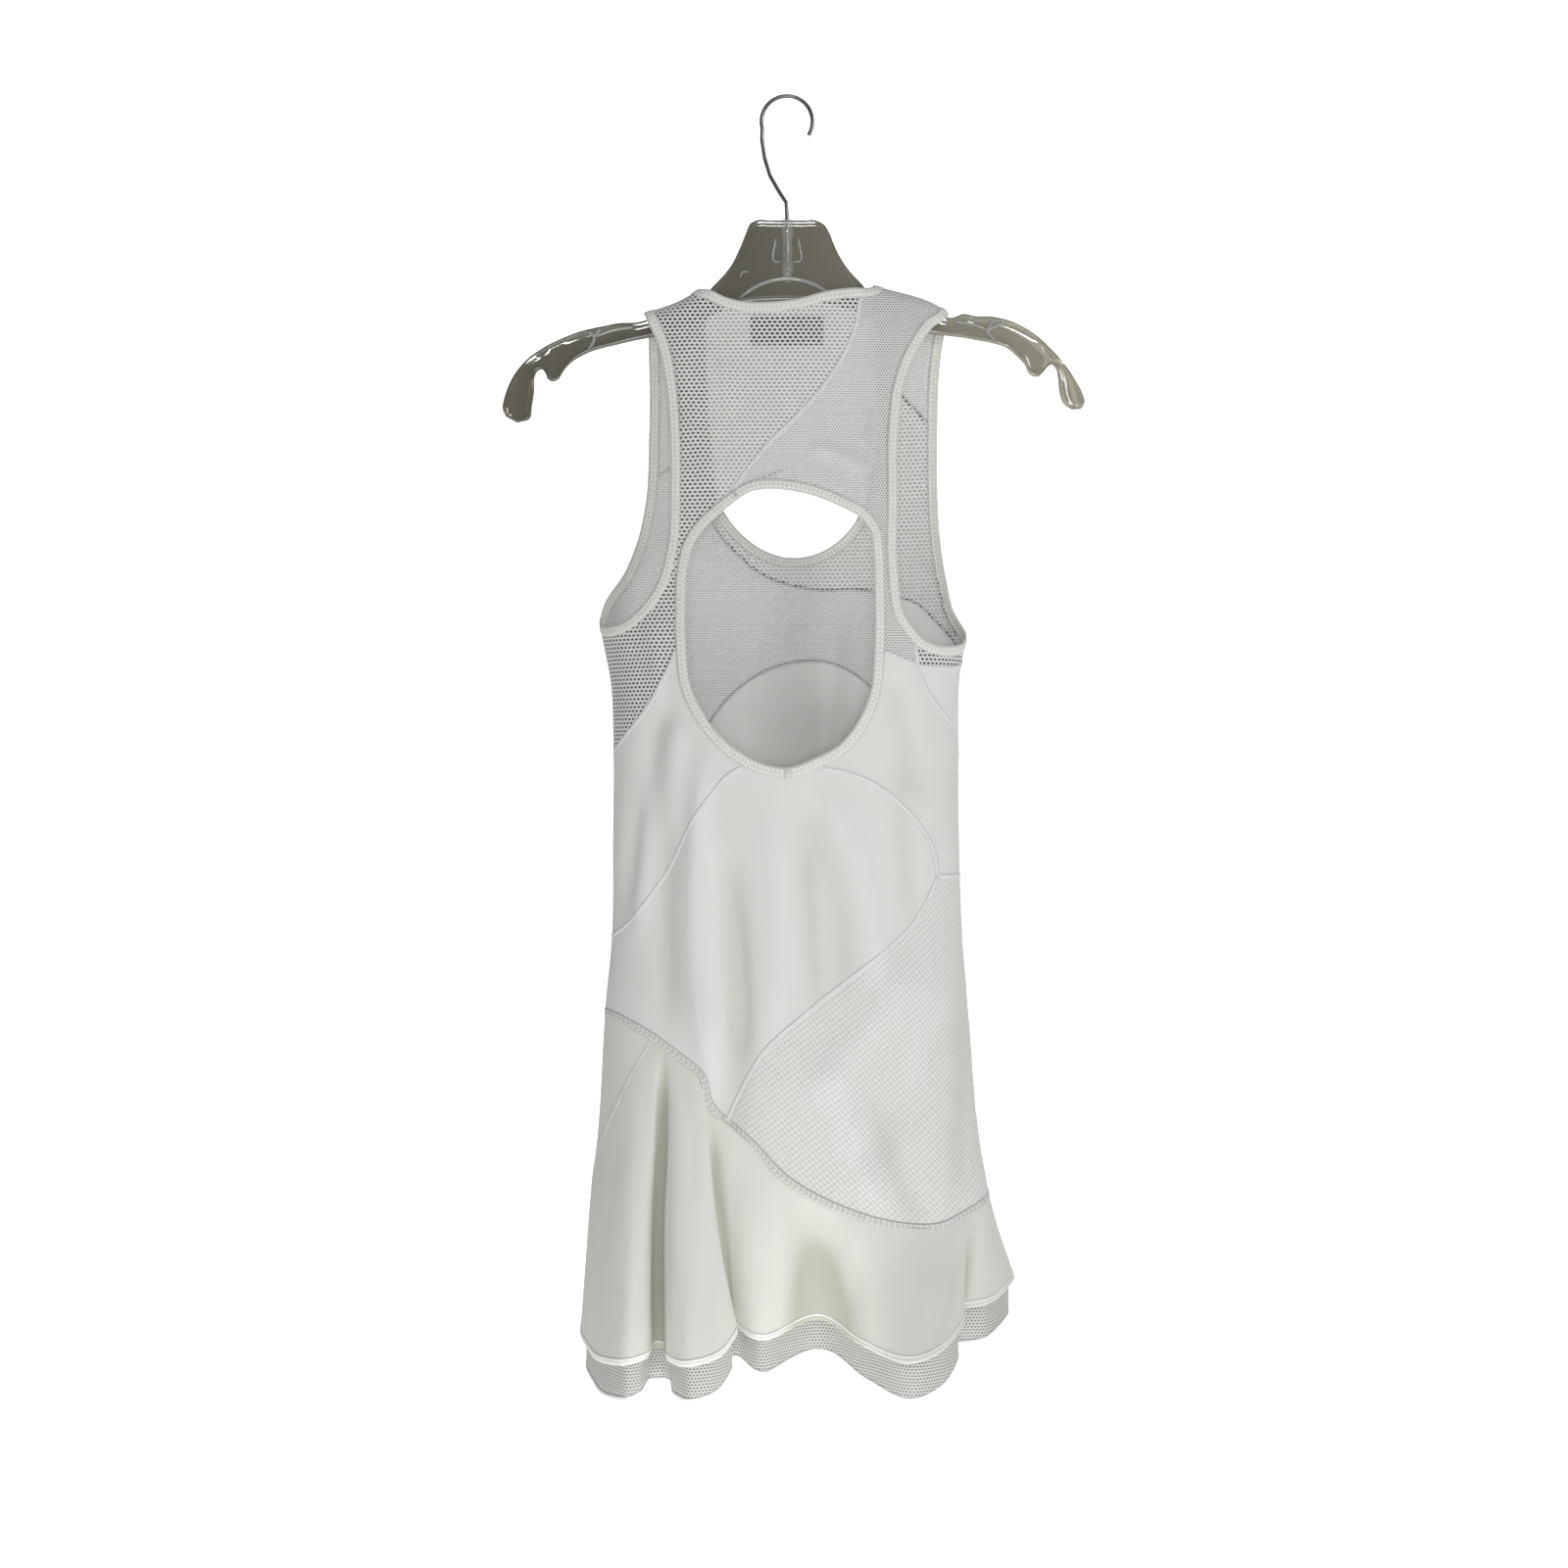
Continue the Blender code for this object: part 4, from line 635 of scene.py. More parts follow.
class Flounce:
    """The flounce surface over wave row and drop below the seam."""

    def __init__(self, seams):
        self.angle, self.height = flounce_seam_table(seams)

    def wave_at(self, angle):
        """Wave row that starts at an angle of the seam."""
        return np.interp(np.degrees(angle), HEM[:, 1], HEM[:, 0])

    def start(self, wave):
        angle = np.radians(np.interp(wave, HEM[:, 0], HEM[:, 1]))
        return angle, np.interp(angle, self.angle, self.height)

    def even_waves(self, first, last):
        """Wave values spaced by length and, in tight folds, by wave."""
        dense = np.linspace(first, last, 1200)
        line = self.place(dense, np.full(dense.shape, 0.6))
        length = np.concatenate([[0.0], np.cumsum(np.linalg.norm(
            np.diff(line, axis=0), axis=1))])
        share = length / UNDERLAYER_STEP + (dense - first) * WAVE_POINTS
        count = round(share[-1])
        return np.interp(np.linspace(0, share[-1], count + 1), share, dense)

    def level_seam(self, angle):
        """Seam height with its short steep stretch evened out."""
        spread = np.linspace(-0.16, 0.16, 9)
        near = [np.interp(angle + move, self.angle, self.height)
                for move in spread]
        return np.mean(near, axis=0) - 3.0

    def place(self, wave, drop):
        """Ring form at first, opening into the waves towards the hem."""
        angle, seam = self.start(wave)
        hem = np.stack([np.interp(wave, HEM[:, 0], HEM[:, i])
                        for i in (2, 3, 4)], -1)
        share = np.clip(drop, -0.2, 1.0)
        height = seam + (hem[..., 2] - seam) * share
        form = ring_point(angle, height)
        foot = ring_point(angle, hem[..., 2])
        opening = np.sign(share) * np.abs(share)**WAVE_SPREAD
        offset = body(angle, seam) - ring_point(angle, seam)
        keep = (1 - np.clip(share, 0, 1))**2
        return (form + (hem - foot) * opening[..., None]
                + offset * keep[..., None])

    def normal(self, wave, drop):
        drop = np.clip(drop, 0.0, 0.99)
        return -normals(self.place, wave, drop, 0.02, 0.01)


def ring_point(angle, height):
    centre, half, back, front = ring(height)
    cosine = np.cos(angle)
    depth = np.where(cosine > 0, back, front)
    return np.stack([centre + half * np.sin(angle), -depth * cosine, height],
                    -1)


def nearest_chart(angle, height, wanted):
    """Chart place whose point on the form is nearest a wanted point."""
    angle, height = angle.copy(), height.copy()
    for _ in range(4):
        here = body(angle, height)
        by_angle = (body(angle + 1e-3, height) - here) / 1e-3
        by_height = (here - body(angle, height - 0.1)) / 0.1
        error = wanted - here
        aa = (by_angle**2).sum(1)
        bb = (by_height**2).sum(1)
        ab = (by_angle * by_height).sum(1)
        ea = (error * by_angle).sum(1)
        eb = (error * by_height).sum(1)
        scale = np.maximum(aa * bb - ab * ab, 1e-6)
        angle = angle + (ea * bb - eb * ab) / scale
        height = height + (eb * aa - ea * ab) / scale
        centre, half, _, _ = ring(height)
        top = shoulder(centre + half * np.sin(angle)) + CAP_RISE
        height = np.minimum(height, top)
    return angle, height




# ---- meshes -----------------------------------------------------------------

def grid_faces(rows, columns, wrap=False):
    """Quads of a grid whose points run along the columns first."""
    last = rows if wrap else rows - 1
    i, j = np.meshgrid(np.arange(last), np.arange(columns - 1), indexing="ij")
    a = i * columns + j
    b = ((i + 1) % rows) * columns + j
    return np.stack([a, b, b + 1, a + 1], -1).reshape(-1, 4)


def grid_object(name, points, flat, wrap=False, flip=False, merge=False,
                shade=None):
    """A sheet from a (rows, columns, 3) grid in millimetres, with its flat
    lengths in metres as the UV map that weaves and stitches read, and with
    the painted shade of the folds for each point where that is given."""
    rows, columns = points.shape[:2]
    faces = grid_faces(rows, columns, wrap)
    if flip:
        faces = faces[:, ::-1]
    mesh = bpy.data.meshes.new(name)
    mesh.vertices.add(rows * columns)
    mesh.vertices.foreach_set("co", (points * METRES).reshape(-1))
    mesh.loops.add(faces.size)
    mesh.loops.foreach_set("vertex_index", faces.reshape(-1))
    mesh.polygons.add(len(faces))
    mesh.polygons.foreach_set("loop_start", np.arange(len(faces)) * 4)
    mesh.update(calc_edges=True)
    layer = mesh.uv_layers.new(name="flat")
    corner = flat.reshape(-1, 2)[faces.reshape(-1)] * METRES
    layer.data.foreach_set("uv", corner.reshape(-1))
    if shade is not None:
        # Painted shade of the folds, kept as a point attribute that the knit materials mix into
        # their colour.
        depth = mesh.attributes.new("fold_painted_shade", "FLOAT", "POINT")
        depth.data.foreach_set("value", np.ascontiguousarray(
            shade, dtype=np.float32).reshape(-1))
    if merge:
        work = bmesh.new()
        work.from_mesh(mesh)
        bmesh.ops.remove_doubles(work, verts=work.verts, dist=5e-6)
        work.to_mesh(mesh)
        work.free()
    mesh.validate()
    mesh.shade_smooth()
    item = bpy.data.objects.new(name, mesh)
    bpy.context.scene.collection.objects.link(item)
    return item


def thicken(item, amount=CLOTH, offset=-1.0):
    """Gives a sheet its thickness, inwards from the face that shows."""
    change = item.modifiers.new("thickness", "SOLIDIFY")
    change.thickness = amount * METRES
    change.offset = offset
    return item


def finish_piece(item, material, slot, nodes=()):
    item.data.materials.append(material)
    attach(item, "root")
    if nodes:
        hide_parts(*nodes)
    return item


def keep_sheet(item, points, held="hung", rests=("hanger_body",)):
    """Keeps the cut of a sheet, its width, length and area, for the end."""
    across = points[:, 1:] - points[:, :-1]
    down = points[1:] - points[:-1]
    width = np.linalg.norm(across, axis=2).sum(1).max() * METRES
    length = np.linalg.norm(down, axis=2).sum(0).max() * METRES
    cell = np.cross(across[:-1], down[:, :-1])
    area = np.linalg.norm(cell, axis=2).sum() * METRES**2
    width = min(width, area / (0.45 * length))
    CUTS.append((item.name, float(width), float(length), float(area), held,
                 rests))


CUTS = []


def declare_sheets():
    """Goes over every kept sheet and the trims listed for it, and does nothing with them."""
    for name, width, length, area, held, rests in CUTS:
        list(rests)
        list(TRIMS.get(name, ()))


# Trims that go with a sheet
TRIMS = {
    "back_yoke_coarse_cloth": ("binding_neck_back_tape",
                               "binding_arm_left_tape",
                               "seam_tape_diagonal"),
    "back_yoke_fine_cloth": ("binding_arm_right_tape", "seam_tape_yoke",
                             "seam_tape_fine_bottom"),
    "back_centre_cloth": ("binding_keyhole_tape", "keyhole_bartack",
                          "seam_tape_arch_left",
                          "seam_tape_arch_right"),
    "back_skirt_waffle_cloth": ("seam_tape_waffle", "seam_tape_side_right"),
    "front_chest_cloth": ("binding_neck_front_tape", "seam_tape_front_yoke",
                          "seam_tape_front_fine"),
    "front_body_cloth": ("seam_tape_front_arch", "seam_tape_finger"),
    "flounce_back_cloth": ("seam_tape_flounce", "hem_stitch_back",
                           "gore_seam_stitch"),
    "underflounce_back_mesh": ("underflounce_back_edge",),
    "underflounce_front_mesh": ("underflounce_front_edge",),
    "flounce_front_cloth": ("seam_tape_flounce_front", "hem_stitch_front"),
}


# ---- ruled panels -----------------------------------------------------------

def rail(seams, names):
    """Seams end to end as one dense line, with the place where each begins."""
    parts, marks, total = [], [0.0], 0.0
    for name in names:
        label, *span = name.split(":")
        line = seams[label.lstrip("-")]
        if label.startswith("-"):
            line = line[::-1]
        if span:
            low, high = (float(v) for v in span)
            count = len(line) - 1
            line = line[int(low * count):int(math.ceil(high * count)) + 1]
        angle, height = line.T
        place = body(angle, height)
        length = np.concatenate([[0.0], np.cumsum(np.linalg.norm(
            np.diff(place, axis=0), axis=1))])
        if parts:
            turn = 2 * math.pi
            shift = np.round((parts[-1][-1, 1] - angle[0]) / turn) * turn
            flip = abs(parts[-1][-1, 1] - (angle[0] + shift)) > 0.6
            if flip:
                angle = math.pi - angle
                shift = np.round((parts[-1][-1, 1] - angle[0]) / turn) * turn
            angle = angle + shift
        parts.append(np.column_stack([length + total, angle, height]))
        total += length[-1]
        marks.append(total)
    return np.vstack(parts), np.array(marks)


def rail_place(marks, value):
    """Length along a rail for a seam number and share."""
    whole = min(int(value), len(marks) - 2)
    return marks[whole] + (marks[whole + 1] - marks[whole]) * (value - whole)


def ruled_grid(seams, first, second, pairs):
    """Angles and heights of a grid between two rails: each row is a straight
    line in the chart from a place on one rail to its partner on the other."""
    left, left_marks = rail(seams, first)
    right, right_marks = rail(seams, second)
    turn = 2 * math.pi
    right[:, 1] += np.round((left[0, 1] - right[0, 1]) / turn) * turn
    if abs(left[0, 1] - right[0, 1]) > 2.4:
        right[:, 1] = math.pi - right[:, 1]
        right[:, 1] += np.round((left[0, 1] - right[0, 1]) / turn) * turn
    stops_left = [0.0, *(rail_place(left_marks, a) for a, _ in pairs),
                  left_marks[-1]]
    stops_right = [0.0, *(rail_place(right_marks, b) for _, b in pairs),
                   right_marks[-1]]
    share = []
    for i in range(len(stops_left) - 1):
        span = max(stops_left[i + 1] - stops_left[i],
                   stops_right[i + 1] - stops_right[i])
        count = max(2, int(span / SEAM_STEP))
        share.append(i + np.arange(count) / count)
    share = np.append(np.concatenate(share), len(stops_left) - 1)
    index = np.arange(len(stops_left))
    ends = []
    for line, stops in ((left, stops_left), (right, stops_right)):
        where = np.interp(share, index, stops)
        ends.append(np.column_stack([
            to_chart(np.interp(where, line[:, 0], line[:, 1])),
            np.interp(where, line[:, 0], line[:, 2])]))
    reach = np.linalg.norm(ends[1] - ends[0], axis=1).max()
    steps = np.linspace(0, 1, max(4, int(reach / WEAVE_STEP)))[None, :, None]
    chart = ends[0][:, None] * (1 - steps) + ends[1][:, None] * steps
    return from_chart(chart[..., 0]), chart[..., 1]


def cloth_place(angle, height):
    """The draped dress with its fine creases and slack of the cloth."""
    return body(angle, height) + (body_normal(angle, height)
                                  * crease_height(angle, height)[..., None])


def crease_height(angle, height):
    """Fine creases by table and a slow uneven slack, in millimetres."""
    centre, half, _, _ = ring(height)
    x = centre + half * np.sin(angle)
    side = np.where(np.cos(angle) > 0, -1.0, 1.0)
    total = 0.35 * np.sin(x / 23.0 + height / 31.0) * np.sin(
        height / 47.0 - x / 61.0 + side)
    for face, x0, z0, x1, z1, bow, width, size in CREASES:
        run_x, run_z = x1 - x0, z1 - z0
        length = math.hypot(run_x, run_z)
        share = ((x - x0) * run_x + (height - z0) * run_z) / length**2
        across = ((height - z0) * run_x - (x - x0) * run_z) / length
        bend = 4 * bow * np.clip(share, 0, 1) * (1 - np.clip(share, 0, 1))
        taper = ease(share / 0.3) * ease((1 - share) / 0.3)
        total = total + size * taper * (side == face) * np.exp(
            -((across - bend) / width)**2)
    return total


# Fine creases: side, upper x and height, lower x and height, bow, half width,
# height of the crease
CREASES = (
    (-1, -104.0, -470.0, -112.0, -640.0, 3.0, 7.0, 3.0),
    (-1, -86.0, -520.0, -84.0, -700.0, -3.0, 8.0, -3.2),
    (-1, -68.0, -500.0, -56.0, -760.0, 5.0, 8.0, 3.0),
    (-1, -36.0, -540.0, -40.0, -800.0, 3.0, 9.0, -2.6),
    (-1, -14.0, -520.0, -8.0, -700.0, 3.0, 8.0, 2.2),
    (-1, 14.0, -530.0, 24.0, -680.0, -3.0, 7.0, -2.4),
    (-1, 44.0, -515.0, 70.0, -660.0, 4.0, 8.0, 2.4),
    (-1, 84.0, -470.0, 92.0, -620.0, -3.0, 8.0, -2.0),
    (-1, 108.0, -600.0, 84.0, -760.0, 3.0, 9.0, 2.2),
    (-1, 128.0, -640.0, 122.0, -830.0, 3.0, 8.0, -2.4),
    (-1, 30.0, -690.0, 74.0, -830.0, -4.0, 9.0, 2.2),
    (-1, 60.0, -720.0, 104.0, -840.0, -4.0, 8.0, -1.8),
    (-1, -104.0, -380.0, -92.0, -470.0, 3.0, 6.0, 2.0),
    (-1, -88.0, -170.0, -30.0, -240.0, 4.0, 9.0, 1.6),
    (-1, -78.0, -215.0, -55.0, -300.0, 2.0, 7.0, 1.8),
    (-1, 66.0, -225.0, 64.0, -320.0, -2.0, 4.0, 2.6),
    (-1, 14.0, -262.0, 62.0, -284.0, 3.0, 5.0, 1.8),
    (1, 40.0, -372.0, 14.0, -540.0, 4.0, 9.0, 3.6),
    (1, -28.0, -440.0, -10.0, -640.0, 3.0, 9.0, 2.6),
    (1, -52.0, -380.0, -60.0, -560.0, 3.0, 9.0, -2.4),
)


# ---- node groups ------------------------------------------------------------

def group(name, inputs, outputs):
    """A shader node group with named sockets, and helpers to fill it."""
    tree = bpy.data.node_groups.new(name, "ShaderNodeTree")
    for label, kind, value in inputs:
        made = tree.interface.new_socket(label, in_out="INPUT",
                                         socket_type=kind)
        if value is not None:
            made.default_value = value
    for label, kind in outputs:
        tree.interface.new_socket(label, in_out="OUTPUT", socket_type=kind)
    entry = tree.nodes.new("NodeGroupInput")
    leave = tree.nodes.new("NodeGroupOutput")
    return tree, entry, leave


def math_node(tree, operation, first, second=None, third=None):
    """One Math node fed by sockets or numbers; returns its output."""
    node = tree.nodes.new("ShaderNodeMath")
    node.operation = operation
    for place, value in enumerate((first, second, third)):
        if value is None:
            continue
        if isinstance(value, (int, float)):
            node.inputs[place].default_value = value
        else:
            tree.links.new(value, node.inputs[place])
    return node.outputs[0]


def holes_group():
    """Staggered oval holes of a mesh knit: 1 in a hole, 0 on the yarn."""
    tree, entry, leave = group(
        "mesh_holes",
        (("Vector", "NodeSocketVector", None),
         ("Pitch", "NodeSocketFloat", 0.0037),
         ("Row", "NodeSocketFloat", 0.0029),
         ("Hole width", "NodeSocketFloat", 0.0009),
         ("Hole height", "NodeSocketFloat", 0.0006)),
        (("Hole", "NodeSocketFloat"), ("Relief", "NodeSocketFloat")))
    split = tree.nodes.new("ShaderNodeSeparateXYZ")
    tree.links.new(entry.outputs["Vector"], split.inputs[0])
    row = math_node(tree, "DIVIDE", split.outputs[1], entry.outputs["Row"])
    number = math_node(tree, "FLOOR", row)
    shift = math_node(tree, "MULTIPLY", math_node(
        tree, "FLOORED_MODULO", number, 2.0), 0.5)
    column = math_node(tree, "ADD", math_node(
        tree, "DIVIDE", split.outputs[0], entry.outputs["Pitch"]), shift)
    x = math_node(tree, "SUBTRACT", math_node(tree, "FRACT", column), 0.5)
    y = math_node(tree, "SUBTRACT", math_node(tree, "FRACT", row), 0.5)
    x = math_node(tree, "DIVIDE", math_node(
        tree, "MULTIPLY", x, entry.outputs["Pitch"]),
        entry.outputs["Hole width"])
    y = math_node(tree, "DIVIDE", math_node(
        tree, "MULTIPLY", y, entry.outputs["Row"]),
        entry.outputs["Hole height"])
    radius = math_node(tree, "SQRT", math_node(
        tree, "ADD", math_node(tree, "MULTIPLY", x, x),
        math_node(tree, "MULTIPLY", y, y)))
    hole = tree.nodes.new("ShaderNodeMapRange")
    hole.interpolation_type = "SMOOTHSTEP"
    hole.inputs["From Min"].default_value = 1.25
    hole.inputs["From Max"].default_value = 0.85
    tree.links.new(radius, hole.inputs["Value"])
    tree.links.new(hole.outputs[0], leave.inputs["Hole"])
    relief = math_node(tree, "SUBTRACT", 1.0, hole.outputs[0])
    tree.links.new(relief, leave.inputs["Relief"])
    return tree


def knit_group():
    """Soft height of a knit: wales and courses of small round stitches."""
    tree, entry, leave = group(
        "knit_relief",
        (("Vector", "NodeSocketVector", None),
         ("Pitch", "NodeSocketFloat", 0.001),
         ("Row", "NodeSocketFloat", 0.0008),
         ("Tilt", "NodeSocketFloat", 0.0)),
        (("Relief", "NodeSocketFloat"),))
    split = tree.nodes.new("ShaderNodeSeparateXYZ")
    tree.links.new(entry.outputs["Vector"], split.inputs[0])
    lean = math_node(tree, "ADD", split.outputs[1], math_node(
        tree, "MULTIPLY", split.outputs[0], entry.outputs["Tilt"]))
    x = math_node(tree, "DIVIDE", split.outputs[0], entry.outputs["Pitch"])
    y = math_node(tree, "DIVIDE", lean, entry.outputs["Row"])
    wave_x = math_node(tree, "SINE", math_node(
        tree, "MULTIPLY", x, 2 * math.pi))
    wave_y = math_node(tree, "SINE", math_node(
        tree, "MULTIPLY", y, 2 * math.pi))
    both = math_node(tree, "MULTIPLY", wave_x, wave_y)
    relief = math_node(tree, "MULTIPLY_ADD", both, 0.5, 0.5)
    tree.links.new(relief, leave.inputs["Relief"])
    return tree


def stitch_group():
    """Rows of stitches along a tape: needle rows at given places across it
    and a ladder of crossing threads between."""
    tree, entry, leave = group(
        "cover_stitch",
        (("Vector", "NodeSocketVector", None),
         ("Width", "NodeSocketFloat", 0.0042),
         ("Stitch", "NodeSocketFloat", 0.0022),
         ("Inset", "NodeSocketFloat", 0.2)),
        (("Thread", "NodeSocketFloat"), ("Relief", "NodeSocketFloat")))
    split = tree.nodes.new("ShaderNodeSeparateXYZ")
    tree.links.new(entry.outputs["Vector"], split.inputs[0])
    share = math_node(tree, "DIVIDE", split.outputs[1],
                      entry.outputs["Width"])
    mirror = math_node(tree, "ABSOLUTE", math_node(
        tree, "SUBTRACT", share, 0.5))
    row = math_node(tree, "ABSOLUTE", math_node(
        tree, "SUBTRACT", math_node(tree, "SUBTRACT", 0.5, mirror),
        entry.outputs["Inset"]))
    near = tree.nodes.new("ShaderNodeMapRange")
    near.interpolation_type = "SMOOTHSTEP"
    near.inputs["From Min"].default_value = 0.10
    near.inputs["From Max"].default_value = 0.03
    tree.links.new(row, near.inputs["Value"])
    slant = math_node(tree, "MULTIPLY_ADD", mirror, entry.outputs["Width"],
                      split.outputs[0])
    beat = math_node(tree, "FRACT", math_node(
        tree, "DIVIDE", slant, entry.outputs["Stitch"]))
    dash = math_node(tree, "LESS_THAN", beat, 0.78)
    thread = math_node(tree, "MULTIPLY", near.outputs[0], dash)
    rungs = math_node(tree, "MULTIPLY_ADD", math_node(
        tree, "SINE", math_node(tree, "MULTIPLY", beat, 2 * math.pi)),
        0.5, 0.5)
    between = math_node(tree, "GREATER_THAN", math_node(
        tree, "SUBTRACT", 0.5, mirror), entry.outputs["Inset"])
    ladder = math_node(tree, "MULTIPLY", rungs, between)
    relief = math_node(tree, "MAXIMUM", thread, math_node(
        tree, "MULTIPLY", ladder, 0.55))
    tree.links.new(thread, leave.inputs["Thread"])
    tree.links.new(relief, leave.inputs["Relief"])
    return tree


def uneven_group():
    """Slow and fine variation of a dyed knit, about 0.5 in the middle."""
    tree, entry, leave = group(
        "uneven_cloth", (("Scale", "NodeSocketFloat", 60.0),),
        (("Tone", "NodeSocketFloat"),))
    place = tree.nodes.new("ShaderNodeTexCoord")
    noise = tree.nodes.new("ShaderNodeTexNoise")
    noise.inputs["Detail"].default_value = 4.0
    tree.links.new(place.outputs["Object"], noise.inputs["Vector"])
    tree.links.new(entry.outputs["Scale"], noise.inputs["Scale"])
    tree.links.new(noise.outputs["Fac"], leave.inputs["Tone"])
    return tree


class Maker:
    """Short ways to add and link nodes of one material."""

    def __init__(self, name, roughness, sheen=0.0):
        self.material = bpy.data.materials.new(name)
        self.material.use_nodes = True
        self.tree = self.material.node_tree
        self.shader = self.tree.nodes["Principled BSDF"]
        self.shader.inputs["Roughness"].default_value = roughness
        self.shader.inputs["Sheen Weight"].default_value = sheen
        self.shader.inputs["Specular IOR Level"].default_value = 0.25
        if sheen:
            self.shader.inputs["Subsurface Weight"].default_value = 0.4
            self.shader.inputs["Subsurface Radius"].default_value = (
                1.0, 1.0, 1.0)
            self.shader.inputs["Subsurface Scale"].default_value = 0.002

    def use(self, tree, **values):
        node = self.tree.nodes.new("ShaderNodeGroup")
        node.node_tree = tree
        if "Vector" in node.inputs:
            uv = self.tree.nodes.new("ShaderNodeUVMap")
            uv.uv_map = "flat"
            self.tree.links.new(uv.outputs[0], node.inputs["Vector"])
        for label, value in values.items():
            node.inputs[label.replace("_", " ")].default_value = value
        return node

    def mix(self, factor, low, high):
        node = self.tree.nodes.new("ShaderNodeMix")
        node.data_type = "RGBA"
        for label, value in (("A", low), ("B", high)):
            place = node.inputs[6 if label == "A" else 7]
            if isinstance(value, tuple):
                place.default_value = (*value, 1.0)
            else:
                self.tree.links.new(value, place)
        self.tree.links.new(factor, node.inputs[0])
        return node.outputs[2]

    def bump(self, height, distance, strength=0.6):
        node = self.tree.nodes.new("ShaderNodeBump")
        node.inputs["Distance"].default_value = distance
        node.inputs["Strength"].default_value = strength
        self.tree.links.new(height, node.inputs["Height"])
        self.tree.links.new(node.outputs[0], self.shader.inputs["Normal"])

    def colour(self, socket, tint=None):
        """Base colour, mixed towards a darker tint by the fold attribute if a tint is given:
        painted shade in the folds.
        """
        if tint is not None:
            depth = self.tree.nodes.new("ShaderNodeAttribute")
            depth.attribute_name = "fold_painted_shade"
            socket = self.mix(depth.outputs["Fac"], socket, tint)
        self.tree.links.new(socket, self.shader.inputs["Base Color"])


def mesh_material(groups, name, pitch, row, width, height, yarn, depth,
                  see_through):
    """Mesh knit: pale yarn round holes that are part see-through and painted dark: the dark
    colour of the holes is painted shade of the inside.
    """
    make = Maker(name, 0.75, 0.2)
    holes = make.use(groups["holes"], Pitch=pitch, Row=row,
                     Hole_width=width, Hole_height=height)
    tone = make.use(groups["uneven"], Scale=45.0)
    cloth = make.mix(tone.outputs[0], tuple(c * 0.93 for c in yarn), yarn)
    # The holes take the dark colour given as depth: painted shade.
    make.colour(make.mix(holes.outputs["Hole"], cloth, depth))
    alpha = math_node(make.tree, "MULTIPLY_ADD", holes.outputs["Hole"],
                      -see_through, 1.0)
    make.tree.links.new(alpha, make.shader.inputs["Alpha"])
    make.bump(holes.outputs["Relief"], 0.0004)
    return make.material


def knit_material(groups, name, pitch, row, tilt, low, high, relief):
    """Solid knit with its own stitch grid; its colour is darker in the hollows of the stitches
    and in the folds, both painted shade.
    """
    make = Maker(name, 0.82, 0.15)
    knit = make.use(groups["knit"], Pitch=pitch, Row=row, Tilt=tilt)
    tone = make.use(groups["uneven"], Scale=30.0)
    # The low colour in the hollows of the stitches is painted shade.
    base = make.mix(knit.outputs["Relief"], low, high)
    # The last colour is the painted shade of the folds.
    make.colour(make.mix(tone.outputs[0],
                         make.mix(knit.outputs["Relief"],
                                  tuple(c * 0.96 for c in low), high), base),
                (0.50, 0.50, 0.43))
    make.bump(knit.outputs["Relief"], relief)
    return make.material


def stitch_material(groups, name, width, stitch, inset, base, thread):
    """Folded tape with two needle rows and the ladder between them; the darker base colour away
    from the raised threads is painted shade.
    """
    make = Maker(name, 0.7, 0.1)
    rows = make.use(groups["stitch"], Width=width, Stitch=stitch,
                    Inset=inset)
    # Base colour away from the threads: painted shade.
    make.colour(make.mix(rows.outputs["Relief"], base, thread))
    make.bump(rows.outputs["Relief"], 0.0005, 0.8)
    return make.material


def cloth_materials(tint):
    """Every finish of the cloth, by name."""
    groups = {"holes": holes_group(), "knit": knit_group(),
              "stitch": stitch_group(), "uneven": uneven_group()}
    white = tuple(tint)
    # The jersey's darker colour for the hollows of its stitches, and the waffle's low colour,
    # are painted shade.
    shade = tuple(c * 0.93 for c in white)
    cream = (white[0], white[1] * 0.995, white[2] * 0.955)
    return {
        # The third colour of each mesh is the painted shade in its holes.
        "coarse": mesh_material(groups, "coarse_mesh_knit", 0.0037, 0.0029,
                                0.00122, 0.00085, white, (0.07, 0.07, 0.065),
                                0.5),
        "fine": mesh_material(groups, "fine_mesh_knit", 0.0021, 0.0018,
                              0.00060, 0.00050, white, (0.18, 0.18, 0.17),
                              0.45),
        "hem": mesh_material(groups, "hem_mesh_knit", 0.0026, 0.0022,
                             0.0007, 0.00055, (0.60, 0.60, 0.575),
                             (0.16, 0.16, 0.15), 0.1),
        "jersey": knit_material(groups, "smooth_knit", 0.0011, 0.0009, 0.0,
                                shade, white, 0.00012),
        "waffle": knit_material(groups, "waffle_knit", 0.0046, 0.0046, 0.25,
                                tuple(c * 0.82 for c in white),
                                tuple(min(c * 1.03, 1.0) for c in white),
                                0.0006),
        "flounce": knit_material(groups, "flounce_knit", 0.0012, 0.001, 0.0,
                                 tuple(c * 0.94 for c in cream), cream,
                                 0.00012),
        # The darker base colours of binding and tapes away from their threads are painted
        # shade.
        "binding": stitch_material(groups, "binding_tape", 0.0075, 0.0034,
                                   0.26, (0.66, 0.67, 0.63),
                                   (0.96, 0.97, 0.94)),
        "tape": stitch_material(groups, "seam_tape", 0.0032, 0.0022, 0.22,
                                (0.93, 0.94, 0.92), (0.98, 0.99, 0.97)),
        "rope": stitch_material(groups, "flounce_seam_tape", 0.0064, 0.0042,
                                0.22, (0.60, 0.61, 0.58),
                                (0.98, 0.99, 0.96)),
    }


